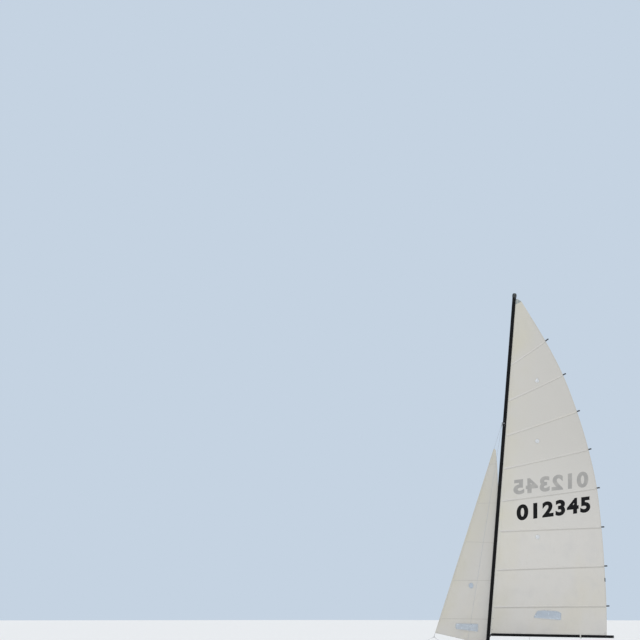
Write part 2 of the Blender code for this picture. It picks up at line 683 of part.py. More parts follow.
# Stays: they all end on one shackle just ahead of the turning tang
shackle = mast_foot + mast_up * hounds - mast_back * (tang_radius + MOVING + SHACKLE_RADIUS)
bridle_x = BOW_X - BRIDLE_BACK
bridle_point = Vector((bridle_x, 0, deck_height(bridle_x) + PLATE_HEIGHT))
stay_down = (bridle_point - shackle).normalized()
ring_down = (bridle_point - shackle).length - BRIDLE_DROP
ring_centre = shackle + stay_down * ring_down
ball("stay_shackle", SHACKLE_RADIUS, STEEL, shackle)
ball("bridle_ring", RING_RADIUS, STEEL, ring_centre)
wire("forestay", shackle, ring_centre, WIRE_RADIUS, STEEL, SHACKLE_RADIUS + GAP, RING_RADIUS + GAP)


def plate_and_wire(plate_name, wire_name, x, y, target, target_radius):
    """A tang that stands on the deck, and the wire from its top to target."""
    deck = max(deck_height(x - PLATE_LENGTH / 2), deck_height(x + PLATE_LENGTH / 2)) + GAP
    half = Vector((PLATE_LENGTH, PLATE_THICKNESS, PLATE_HEIGHT)) / 2
    centre = Vector((x, y, deck + half.z))
    box(plate_name, centre - half, centre + half, STEEL)
    top = centre + Vector((0, 0, half.z + GAP))
    way = (target - top).normalized()
    top.z += WIRE_RADIUS * math.hypot(way.x, way.y)
    wire(wire_name, top, target, WIRE_RADIUS, STEEL, 0, target_radius + GAP)


for label, side in (("port", 1), ("starboard", -1)):
    shroud_y = side * (OUTER_Y - SHROUD_INSET)
    plate_and_wire("chainplate_" + label, "shroud_" + label, FRONT_BAR_X - SHROUD_AFT, shroud_y, shackle,
                   SHACKLE_RADIUS)
    bridle_y = side * deck_middle(bridle_x)
    plate_and_wire("bow_tang_" + label, "bridle_" + label, bridle_x, bridle_y, ring_centre, RING_RADIUS)

# Jib, in a frame on the stay: X aft across the sail, Y to windward, Z down the stay
forward = Vector((-1, 0, 0))
stay_aft = (forward - stay_down * stay_down.dot(forward)).normalized()
jib_aft = math.cos(JIB_SWING) * stay_aft + math.sin(JIB_SWING) * starboard
jib_frame = Matrix((jib_aft, stay_down.cross(jib_aft), stay_down)).transposed().to_4x4()
jib_luff = WIRE_RADIUS + CLOTH_GAP
tack_down = ring_down - JIB_TACK_GAP
jib_grid = []
for (luff_share, chord_share, leech_share), camber_share in zip(JIB_ROW_SHARES, JIB_CAMBER_SHARES):
    luff_down = luff_share * tack_down
    leech_down = leech_share * tack_down
    chord = chord_share * JIB_CHORD
    row = []
    for column in range(JIB_COLUMNS + 1):
        part = column / JIB_COLUMNS
        belly = -belly_at(chord, part, JIB_CAMBER_SHARE * camber_share)
        row.append(Vector((jib_luff + part * chord, belly, luff_down + part * (leech_down - luff_down))))
    jib_grid.append(row)
cloth("jib", jib_grid, SAIL_THICKNESS, SAIL_WHITE, Matrix.Translation(shackle) @ jib_frame)

# Rudders: gudgeons on each transom, a head that steers, a blade that kicks up, a tiller arm
axis_x = stern_x - RUDDER_AXIS_AFT
gudgeon_low = GUDGEON_LOW_SHARE * HULL_HEIGHT
gudgeon_high = GUDGEON_HIGH_SHARE * HULL_HEIGHT
rudder_y = deck_middle(stern_x)
lug_half = GUDGEON_THICKNESS / 2
head_front = -(BARREL_RADIUS + HEAD_CLEAR)
head_low = gudgeon_low - HEAD_BELOW
head_top = deck_height(stern_x) + ARM_ABOVE_DECK
head_half = CHEEK + BLADE_THICKNESS / 2 + GAP
pivot = Vector((-PIVOT_AFT_OF_AXIS, 0, gudgeon_low + PIVOT_ABOVE))
slot_front = pivot.x + BLADE_TOP_SHARE * BLADE_LENGTH + SLOT_CLEAR
slot_top = pivot.z + SLOT_TOP_SHARE * BLADE_LENGTH
barrel_low = gudgeon_low + lug_half + GAP
barrel_high = gudgeon_high - lug_half - MOVING
arm_low = head_top + GAP
side_view = Matrix.Rotation(math.radians(90), 4, "X")
rudder_axes = {}
for label, side in (("port", 1), ("starboard", -1)):
    y = side * rudder_y
    plate_x = stern_x - GAP
    half = GUDGEON_WIDTH / 2
    gudgeon = box("gudgeon_" + label, (plate_x - GUDGEON_PLATE, y - half, gudgeon_low - lug_half * 2),
                  (plate_x, y + half, gudgeon_high + lug_half * 2), STEEL)
    for place, middle in (("low", gudgeon_low), ("high", gudgeon_high)):
        low_corner = (axis_x - BARREL_RADIUS, y - BARREL_RADIUS, middle - lug_half)
        high_corner = (plate_x - GUDGEON_PLATE / 2, y + BARREL_RADIUS, middle + lug_half)
        cut(gudgeon, box("gudgeon_%s_%s" % (label, place), low_corner, high_corner), "UNION")

    turn_axis = axis("rudder_axis_" + label, Matrix.Translation((axis_x, y, 0)))
    rudder_axes[label] = turn_axis
    outline = [(head_front - a * HEAD_LENGTH, head_low + b * (head_top - head_low)) for a, b in HEAD_SHARES]
    head = plate("rudder_head_" + label, [outline], -head_half, head_half, CAST, side_view, turn_axis)
    head = as_mesh(head, CAST)
    slot_half = BLADE_THICKNESS / 2 + GAP
    slot = box("slot_" + label, (head_front - HEAD_LENGTH - CUT_PAST, -slot_half, head_low - CUT_PAST),
               (slot_front, slot_half, slot_top), None, None, turn_axis)
    cut(head, slot)
    web = box("web_" + label, (head_front - CHEEK / 2, -BARREL_RADIUS / 2, barrel_low + MOVING),
              (0, BARREL_RADIUS / 2, barrel_high - MOVING), None, None, turn_axis)
    barrel = cylinder("barrel_" + label, BARREL_RADIUS, barrel_low, barrel_high, None, None, turn_axis)
    cut(head, web, "UNION")
    cut(head, barrel, "UNION")

    raised = Matrix.Translation(pivot) @ Matrix.Rotation(BLADE_RAISED, 4, "Y")
    kick_axis = axis("blade_axis_" + label, raised, turn_axis)
    outline = [(-a * BLADE_LENGTH, b * BLADE_LENGTH) for a, b in BLADE_SHARES]
    half = BLADE_THICKNESS / 2
    blade = plate("rudder_blade_" + label, [outline], -half, half, BLADE_LOOK, side_view, kick_axis)
    blade = as_mesh(blade, BLADE_LOOK)
    round_edges(blade, BLADE_BEVEL)

    half = ARM_SIZE / 2
    box("tiller_arm_" + label, (head_front - ARM_AFT, -half, arm_low), (ARM_LENGTH, half, arm_low + ARM_SIZE),
        SILVER, None, turn_axis, ARM_BEVEL)

# The tiller crossbar turns on the port arm's end and rides on both arms
bar_up = arm_low + ARM_SIZE + GAP + TILLER_BAR_RADIUS
tiller_place = Matrix.Translation((ARM_LENGTH - ARM_SIZE / 2, 0, bar_up))
tiller_axis = axis("tiller_axis", tiller_place, rudder_axes["port"])
bar_ends = [(0, TILLER_BAR_OVER, 0), (0, -2 * rudder_y - TILLER_BAR_OVER, 0)]
tube("tiller_crossbar", bar_ends, TILLER_BAR_RADIUS, SILVER, TUBE_RESOLUTION, tiller_axis)
above = TILLER_BAR_RADIUS + EXTENSION_RADIUS + GAP
extension_start = EXTENSION_START - rudder_y
extension_ends = [(0, extension_start, above), (0, extension_start - EXTENSION_LENGTH, above)]
tube("tiller_extension", extension_ends, EXTENSION_RADIUS, BLACK, WIRE_RESOLUTION, tiller_axis)
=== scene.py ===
"""Looks of the beach catamaran: cloth, spars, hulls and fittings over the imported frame, on a pale floor.

Row frame: +X to the bow, +Y to port, +Z up, metres. The rig leans aft and its sails are swung to starboard.
"""

import json
import math

import bmesh
import bpy
import numpy as np
from mathutils import Matrix, Vector

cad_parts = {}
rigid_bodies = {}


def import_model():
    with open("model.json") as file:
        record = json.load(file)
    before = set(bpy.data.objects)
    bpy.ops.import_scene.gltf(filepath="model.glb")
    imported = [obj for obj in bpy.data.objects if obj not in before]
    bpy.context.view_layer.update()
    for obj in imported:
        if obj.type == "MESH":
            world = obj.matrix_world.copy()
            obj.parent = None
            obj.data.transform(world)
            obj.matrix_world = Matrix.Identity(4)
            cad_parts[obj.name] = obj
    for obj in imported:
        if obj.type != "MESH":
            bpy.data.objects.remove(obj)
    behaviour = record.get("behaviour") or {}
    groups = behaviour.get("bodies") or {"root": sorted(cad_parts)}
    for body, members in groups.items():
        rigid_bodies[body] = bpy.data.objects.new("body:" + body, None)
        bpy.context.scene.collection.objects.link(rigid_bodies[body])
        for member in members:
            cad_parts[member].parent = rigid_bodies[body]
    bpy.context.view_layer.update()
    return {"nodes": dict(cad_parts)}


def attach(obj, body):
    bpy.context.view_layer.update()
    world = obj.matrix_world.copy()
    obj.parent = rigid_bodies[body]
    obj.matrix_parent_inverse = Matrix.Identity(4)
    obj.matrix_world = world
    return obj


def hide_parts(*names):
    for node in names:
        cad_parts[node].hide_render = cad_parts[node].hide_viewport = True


for old in list(bpy.data.objects):
    bpy.data.objects.remove(old, do_unlink=True)

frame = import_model()
nodes = frame["nodes"]
scene = bpy.context.scene


def linked(obj):
    scene.collection.objects.link(obj)
    return obj


# ---------------------------------------------------------------- camera

camera_data = bpy.data.cameras.new("photo_camera")
camera_data.lens, camera_data.sensor_width, camera_data.clip_end = 135.0, 36.0, 4000
scene.camera = linked(bpy.data.objects.new("photo_camera", camera_data))
scene.camera.location = (-34.473, 40.749, 1.61)
scene.camera.rotation_euler = (math.radians(90 + 7.0545), 0, math.radians(180 + 44.936))
scene.view_settings.view_transform = "Standard"

# ---------------------------------------------------------------- materials


def rgb(colour):
    """An sRGB colour, 0 to 255, as linear values."""
    shares = (value / 255 for value in colour)
    return (*(v / 12.92 if v <= 0.04045 else ((v + 0.055) / 1.055) ** 2.4 for v in shares), 1.0)


THREAD = 0.0011  # half the width of a stitch


class Look:
    """A material made of procedural layers on the piece's own coordinates. Its colours are sRGB, 0 to 255."""

    def __init__(self, name, slot, colour, roughness, metallic=0.0, **more):
        self.slot = slot
        self.material = bpy.data.materials.new(name)
        self.material.use_nodes = True
        self.tree = self.material.node_tree
        self.shader = self.tree.nodes["Principled BSDF"]
        self.coords = self.add("ShaderNodeTexCoord").outputs["Object"]
        self.colour, self.normal = rgb(colour), None
        values = {"base_color": self.colour, "roughness": roughness, "metallic": metallic, **more}
        for socket, value in values.items():
            self.shader.inputs[socket.replace("_", " ").title().replace("Ior", "IOR")].default_value = value

    def add(self, kind, values=(), **settings):
        """A node with its settings, and the values or sources of its inputs."""
        node = self.tree.nodes.new(kind)
        for key, value in settings.items():
            setattr(node, key, value)
        for socket, value in dict(values).items():
            self.link(value, node.inputs[socket])
        return node

    def link(self, source, target):
        if hasattr(source, "is_linked"):
            self.tree.links.new(source, target)
        else:
            target.default_value = source

    def math(self, operation, first, second=0.0):
        return self.add("ShaderNodeMath", {0: first, 1: second}, operation=operation).outputs[0]

    def stretched(self, stretch):
        return self.add("ShaderNodeMapping", {"Scale": stretch, "Vector": self.coords}).outputs[0]

    def noise(self, scale, detail=3.0, stretch=(1, 1, 1), twist=0.0):
        values = {"Scale": scale, "Detail": detail, "Distortion": twist, "Vector": self.stretched(stretch)}
        return self.add("ShaderNodeTexNoise", values).outputs[0]

    def cells(self, scale):
        return self.add("ShaderNodeTexVoronoi", {"Scale": scale, "Vector": self.stretched((1, 1, 1))}).outputs[0]

    def wave(self, scale, direction):
        values = {"Scale": scale, "Vector": self.coords}
        return self.add("ShaderNodeTexWave", values, wave_type="BANDS", bands_direction=direction).outputs["Fac"]

    def bands(self, period, direction):
        """Parallel bands, one every period metres."""
        return self.wave(0.314159 / period, direction)

    def weave(self, period, first="X", second="Z"):
        return self.math("MULTIPLY", self.bands(period, first), self.bands(period, second))

    def part(self, axis):
        """One coordinate of the piece."""
        return self.add("ShaderNodeSeparateXYZ", {0: self.coords}).outputs["XYZ".index(axis)]

    def spread(self, source, low, high, start=0.0, end=1.0):
        """Maps low..high of a layer to start..end, clamped."""
        values = {"Value": source, "From Min": low, "From Max": high, "To Min": start, "To Max": end}
        return self.add("ShaderNodeMapRange", values, clamp=True).outputs[0]

    def tint(self, factor, colour):
        """Lays a colour over what is there, where factor is high."""
        values = {0: factor, 6: self.colour, 7: rgb(colour)}
        self.colour = self.add("ShaderNodeMix", values, data_type="RGBA").outputs[2]
        self.link(self.colour, self.shader.inputs["Base Color"])
        return self

    def stain(self, noise, low, high, share, colour):
        """Patches of a colour, up to a share of it, where a noise passes from low to high."""
        return self.tint(self.spread(self.noise(*noise), low, high, 0.0, share), colour)

    def hollows(self, layer, high, share, colour):
        """A share of a colour where a layer is low, and none where it is high."""
        return self.tint(self.spread(layer, 0.0, high, share, 0.0), colour)

    def uneven(self, noise, start, end, low=0.3):
        """Roughness from start to end where a noise passes from low to 0.7."""
        self.link(self.spread(self.noise(*noise), low, 0.7, start, end), self.shader.inputs["Roughness"])
        return self

    def bump(self, source, depth, strength):
        values = {"Strength": strength, "Distance": depth, "Height": source}
        if self.normal is not None:
            values["Normal"] = self.normal
        self.normal = self.add("ShaderNodeBump", values).outputs[0]
        self.link(self.normal, self.shader.inputs["Normal"])
        return self

    def dents(self, noise, depth, strength):
        return self.bump(self.noise(*noise), depth, strength)

    def stitched(self, thread, inset=0.006, pitch=0.012, swing=0.004):
        """A zigzag of thread near each edge, from the piece's own measures: along it, and in from its edge."""
        measure = self.add("ShaderNodeAttribute", attribute_name="measure").outputs["Vector"]
        split = self.add("ShaderNodeSeparateXYZ", {0: measure}).outputs
        swung = self.math("MULTIPLY", self.math("PINGPONG", split[0], pitch / 2), 2 * swing / pitch)
        away = self.math("ABSOLUTE", self.math("SUBTRACT", self.math("SUBTRACT", split[1], inset), swung))
        line = self.spread(away, THREAD * 0.7, THREAD * 1.3, 1.0, 0.0)
        return self.tint(line, thread).bump(line, 0.0006, 0.8)


def cloth_look(name, colour, aged):
    """Woven polyester: fine weave, crinkles, and yellow and grey patches where it has aged."""
    look = Look(name, "sailcloth", colour, 0.62, sheen_weight=0.06)
    look.stain((0.9, 4, (1, 1, 0.55)), 0.50, 0.72, 0.45 * aged, (207, 202, 187))
    look.stain((2.6, 5), 0.52, 0.75, 0.30 * aged, (190, 190, 190))
    look.stain((14, 6, (1, 1, 0.4)), 0.58, 0.74, 0.12 * aged, (182, 178, 168))
    weave = look.weave(0.0009)
    look.hollows(weave, 0.9, 0.06, (150, 148, 140)).uneven((5,), 0.55, 0.72)
    look.dents((2.2, 3, (1, 1, 0.5), 0.6), 0.012, 0.22).dents((11, 5, (1, 1, 0.45), 1.2), 0.004, 0.20)
    return look.bump(weave, 0.0002, 0.5)


def sail_looks(cloth, tape, corner, darker_from, darkest_at):
    """A sail's cloth, tape and corner patches, a little darker towards the head from one height to the next, and yellow
    by the luff.
    """
    looks = []
    for name, colour, aged in ((cloth, (207, 205, 201), 1.0), (tape, (207, 206, 203), 0.7),
                               (corner, (206, 204, 200), 0.8)):
        look = cloth_look(name, colour, aged)
        # a little darker towards the head, from the first height to the second
        look.tint(look.spread(look.part("Z"), darker_from, darkest_at), (196, 194, 189))
        near_luff = look.spread(look.part("X"), 0.0, 0.55, 0.65, 0.0)
        patchy = look.spread(look.noise(1.3, 4.0), 0.3, 0.7)
        looks.append(look.tint(look.math("MULTIPLY", near_luff, patchy), (198, 194, 172)))
    looks[1].stitched((176, 174, 166))
    looks[2].bump(looks[2].bands(0.045, "X"), 0.0006, 0.3)
    return looks


main_look, main_tape, main_patch = sail_looks("sailcloth", "sail_tape", "corner_cloth", 2.2, 4.6)
jib_look, jib_tape, jib_patch = sail_looks("jib_cloth", "jib_tape", "jib_corner_cloth", 4.2, 1.6)
# pocket and seam cloth is painted a little darker than the sail as painted shade of the doubled layers against the
# light behind them; their stitching is real thread
pocket_look = cloth_look("batten_pocket_cloth", (204, 202, 198), 0.8).stitched((184, 182, 175), 0.003, 0.010, 0.003)
seam_look = cloth_look("seam_cloth", (196, 194, 188), 0.6).stitched((176, 173, 166), inset=0.002)


def film(name, colour, cloudy, through):
    """Clear vinyl gone milky with scratches."""
    look = Look(name, "sailcloth", colour, 0.12, transmission_weight=through, ior=1.05)
    look.stain((6, 5), 0.4, 0.75, 0.6, cloudy).stain((30, 6, (0.15, 1, 1)), 0.62, 0.70, 0.35, (222, 224, 226))
    return look.uneven((18, 4), 0.06, 0.30, 0.35).dents((9, 3), 0.002, 0.25)


film_look = film("window_film", (206, 213, 220), (196, 204, 212), 0.50)
spot_look = film("tell_tale_film", (224, 226, 228), (216, 220, 223), 0.30)

ink_look = Look("number_cloth", "sailcloth", (12, 12, 13), 0.6, specular_ior_level=0.18)
ink_look.stain((30, 6), 0.60, 0.72, 0.5, (52, 51, 50)).uneven((12,), 0.45, 0.7)
ink_look.bump(ink_look.weave(0.0009), 0.0002, 0.5)
# grey digits on the face opposite the ink: painted shade of the numbers seen through the cloth against the light behind
# it
numbers_through_shade_look = Look("number_showing_through", "sailcloth", (158, 157, 155), 0.65)
numbers_through_shade_look.stain((7, 5), 0.42, 0.7, 0.8, (174, 172, 168))
numbers_through_shade_look.bump(numbers_through_shade_look.weave(0.0009), 0.0002, 0.5).dents((11, 5), 0.003, 0.2)


def spar_look(name, colour):
    """Anodised extrusion: streaks along it, handling marks and a few scratches."""
    look = Look(name, "spar", colour, 0.34, 0.30, specular_ior_level=0.20)
    look.stain((60, 4, (1, 1, 0.02)), 0.55, 0.8, 0.35, (34, 34, 36)).stain((9, 5), 0.62, 0.78, 0.35, (60, 61, 62))
    return look.uneven((24, 4, (1, 1, 0.1)), 0.34, 0.55).dents((220, 2, (1, 1, 0.01)), 0.0004, 0.25)


def tube_look(name, slot, direction, colour=(196, 198, 201)):
    """Anodised tube, brushed along its own direction."""
    along = [0.02 if axis == direction else 1 for axis in "XYZ"]
    look = Look(name, slot, colour, 0.36, 0.9)
    look.stain((120, 4, along), 0.4, 0.75, 0.5, (158, 160, 163)).stain((7, 5), 0.56, 0.8, 0.5, (138, 137, 133))
    return look.uneven((30, 4, along), 0.28, 0.5).dents((300, 2, along), 0.0003, 0.3)


def cast_look(name, colour, worn):
    """Painted casting with a fine sand grain and rubbed patches."""
    look = Look(name, "spar_fitting", colour, 0.5, 0.25)
    look.stain((18, 6), 0.60, 0.72, 0.55, worn).stain((3, 4), 0.5, 0.8, 0.4, (60, 60, 60))
    return look.uneven((40,), 0.42, 0.66).dents((900, 2), 0.0003, 0.5).dents((60, 3), 0.0008, 0.3)


mast_look, boom_look = spar_look("mast_black", (12, 12, 13)), spar_look("boom_black", (14, 14, 15))
cast_black = cast_look("black_casting", (38, 38, 40), (104, 104, 106))
cast_dark = cast_look("dark_tip_casting", (58, 62, 62), (112, 116, 116))
bar_look = tube_look("crossbar_aluminium", "aluminium", "Y")
rail_look = tube_look("rail_aluminium", "aluminium", "X")
arm_look = tube_look("tiller_aluminium", "aluminium", "X", (188, 190, 193))
plate_look = tube_look("headboard_aluminium", "headboard_alloy", "Z", (172, 178, 172))
track_look = tube_look("track_anodised", "track", "Y", (38, 38, 40))

steel = Look("stainless", "steel", (190, 190, 190), 0.25, 1.0)
steel.stain((26, 6), 0.60, 0.75, 0.5, (120, 92, 66)).stain((160, 3), 0.5, 0.8, 0.3, (120, 120, 122))
steel.uneven((70,), 0.18, 0.42).dents((500, 2), 0.0002, 0.3)

wire_look = Look("stranded_wire", "wire", (198, 199, 201), 0.35, 1.0)
strands = wire_look.wave(90.0, "DIAGONAL")
wire_look.hollows(strands, 0.5, 0.45, (145, 145, 147)).uneven((40,), 0.28, 0.5).bump(strands, 0.0006, 0.8)

GRAIN = (0.02, 1, 1)
batten_look = Look("batten_glass", "batten", (30, 30, 31), 0.4).stain((160, 3, GRAIN), 0.45, 0.8, 0.4, (72, 70, 62))
batten_look.uneven((40,), 0.32, 0.5).dents((300, 2, GRAIN), 0.0002, 0.4)

gelcoat = Look("gelcoat", "gelcoat", (228, 228, 224), 0.24, coat_weight=0.5, coat_roughness=0.12)
gelcoat.stain((1.6, 5), 0.45, 0.8, 0.5, (216, 214, 204))
scuffs = gelcoat.math("MULTIPLY", gelcoat.spread(gelcoat.part("Z"), 0.02, 0.16, 1.0, 0.0),
                      gelcoat.spread(gelcoat.noise(34, 6, (0.12, 1, 1)), 0.48, 0.66))
gelcoat.tint(gelcoat.math("MULTIPLY", scuffs, 0.7), (150, 146, 134)).stain((60, 3), 0.72, 0.78, 0.5, (176, 172, 160))
gelcoat.uneven((5, 5), 0.18, 0.36, 0.35).dents((1.8, 2), 0.004, 0.25).bump(scuffs, 0.0006, 0.6)

tread_look = Look("non_slip_deck", "gelcoat", (206, 206, 201), 0.7)
grit = tread_look.cells(170.0)
tread_look.hollows(grit, 0.45, 0.5, (168, 167, 160)).stain((4, 5), 0.5, 0.8, 0.5, (184, 180, 168))
tread_look.uneven((8,), 0.6, 0.85).bump(grit, 0.0008, 0.9)

mesh_look = Look("trampoline_mesh", "trampoline_cloth", (30, 31, 33), 0.85, sheen_weight=0.1)
net = mesh_look.weave(0.0034, "X", "Y")
mesh_look.hollows(net, 0.55, 0.85, (8, 8, 9)).stain((2.2, 5), 0.45, 0.75, 0.35, (74, 72, 66))
mesh_look.uneven((6,), 0.75, 0.95).bump(net, 0.0009, 0.9).dents((3, 3), 0.01, 0.25)

hem_look = Look("black_vinyl_hem", "trampoline_cloth", (24, 24, 26), 0.55).stain((5, 5), 0.5, 0.75, 0.5, (58, 57, 54))
hem_look.uneven((20,), 0.42, 0.68).bump(hem_look.weave(0.0016, "X", "Y"), 0.0003, 0.6)
hem_look.stitched((120, 120, 118), 0.006, 0.008, 0.0005)

strap_look = Look("black_webbing", "webbing", (22, 22, 24), 0.8, sheen_weight=0.15)
ribs = strap_look.bands(0.0022, "X")
strap_look.hollows(ribs, 0.5, 0.6, (9, 9, 10)).stain((9, 5), 0.5, 0.75, 0.4, (62, 60, 56)).bump(ribs, 0.0006, 0.9)
strap_look.stitched((90, 90, 88), 0.005, 0.006, 0.0003)

line_look = Look("braided_line", "sailcloth", (202, 200, 192), 0.8, sheen_weight=0.2)
braid = line_look.cells(420.0)
line_look.hollows(braid, 0.5, 0.6, (118, 116, 110)).bump(braid, 0.0006, 0.9)

foil_look = Look("rudder_plastic", "blade", (214, 214, 208), 0.34).stain((3, 5), 0.45, 0.8, 0.5, (196, 192, 178))
foil_look.stain((90, 4, (0.06, 1, 1)), 0.60, 0.76, 0.35, (168, 165, 154)).uneven((12,), 0.28, 0.5)
foil_look.dents((90, 3, (0.2, 1, 1)), 0.0004, 0.4)

rubber = Look("black_rubber", "grip", (20, 20, 21), 0.7).stain((14, 5), 0.5, 0.75, 0.5, (54, 53, 51))
rubber.uneven((20,), 0.6, 0.85).bump(rubber.bands(0.005, "Y"), 0.0008, 0.8)

white_web = Look("white_webbing", "sailcloth", (214, 213, 208), 0.8, sheen_weight=0.15)
white_ribs = white_web.bands(0.002, "X")
white_web.hollows(white_ribs, 0.5, 0.4, (168, 166, 160)).stain((30, 5), 0.5, 0.75, 0.4, (172, 168, 156))
white_web.bump(white_ribs, 0.0005, 0.9)

# ---------------------------------------------------------------- shapes

HERE = Matrix()
SMOOTH_ANGLE = math.radians(38)


def steady(xs, ys, at):
    """A smooth curve through points that never overshoots them, by monotone cubic pieces."""
    xs, ys, at = (np.asarray(values, float) for values in (xs, ys, at))
    step = np.diff(xs)
    slope = np.diff(ys) / step
    tangent = np.zeros(len(xs))
    tangent[0], tangent[-1] = slope[0], slope[-1]
    for i in range(1, len(xs) - 1):
        if slope[i - 1] * slope[i] > 0:
            before, after = 2 * step[i] + step[i - 1], step[i] + 2 * step[i - 1]
            tangent[i] = (before + after) / (before / slope[i - 1] + after / slope[i])
    index = np.clip(np.searchsorted(xs, at, side="right") - 1, 0, len(xs) - 2)
    span = step[index]
    t = (at - xs[index]) / span
    return ((1 + 2 * t) * (1 - t) ** 2 * ys[index] + t * (1 - t) ** 2 * span * tangent[index]
            + t * t * (3 - 2 * t) * ys[index + 1] + t * t * (t - 1) * span * tangent[index + 1])


def rounded(points, count):
    """Points along a smooth curve through the given ones, evenly spaced."""
    points = np.asarray(points, float)
    run = np.concatenate([[0], np.cumsum(np.linalg.norm(np.diff(points, axis=0), axis=1))])
    at = np.linspace(0, run[-1], count)
    return np.stack([steady(run, column, at) for column in points.T], axis=1)


def ring(radius, sides=24, centre=(0, 0)):
    turns = [2 * math.pi * step / sides for step in range(sides)]
    return [(centre[0] + radius * math.cos(turn), centre[1] + radius * math.sin(turn)) for turn in turns]


def corner_cut(outline, radius, steps=5):
    """An outline with its corners rounded."""
    out = []
    for i, corner in enumerate(outline):
        here = Vector(corner)
        sides = [Vector(outline[j % len(outline)]) - here for j in (i - 1, i + 1)]
        reach = min(radius, *(side.length * 0.45 for side in sides))
        first, last = (here + side.normalized() * reach for side in sides)
        for t in (step / steps for step in range(steps + 1)):
            out.append(tuple((1 - t) ** 2 * first + 2 * t * (1 - t) * here + t * t * last))
    return out


def box_outline(low, high):
    return [(low[0], low[1]), (high[0], low[1]), (high[0], high[1]), (low[0], high[1])]


def drum(radius, low, high, cut):
    """A turned profile with both edges cut back."""
    return [(radius - cut, low), (radius, low + cut), (radius, high - cut), (radius - cut, high)]


def axes(origin, x, z):
    """A frame at origin, with its X and Z along two unit directions at right angles."""
    return Matrix.Translation(origin) @ Matrix((x, z.cross(x), z)).transposed().to_4x4()


def basis(origin, way):
    """A frame at origin, with Z along a direction."""
    z = Vector(way).normalized()
    y = z.cross(Vector((0, 0, 1)) if abs(z.z) < 0.9 else Vector((1, 0, 0))).normalized()
    return axes(origin, y.cross(z), z)


def ways(points, loop):
    """The unit direction of a path at each of its points."""
    points, last = [Vector(point) for point in points], len(points) - 1
    return [(points[(i + 1) % (last + 1) if loop or i < last else i] - points[i - 1 if loop or i else i]).normalized()
            for i in range(last + 1)]


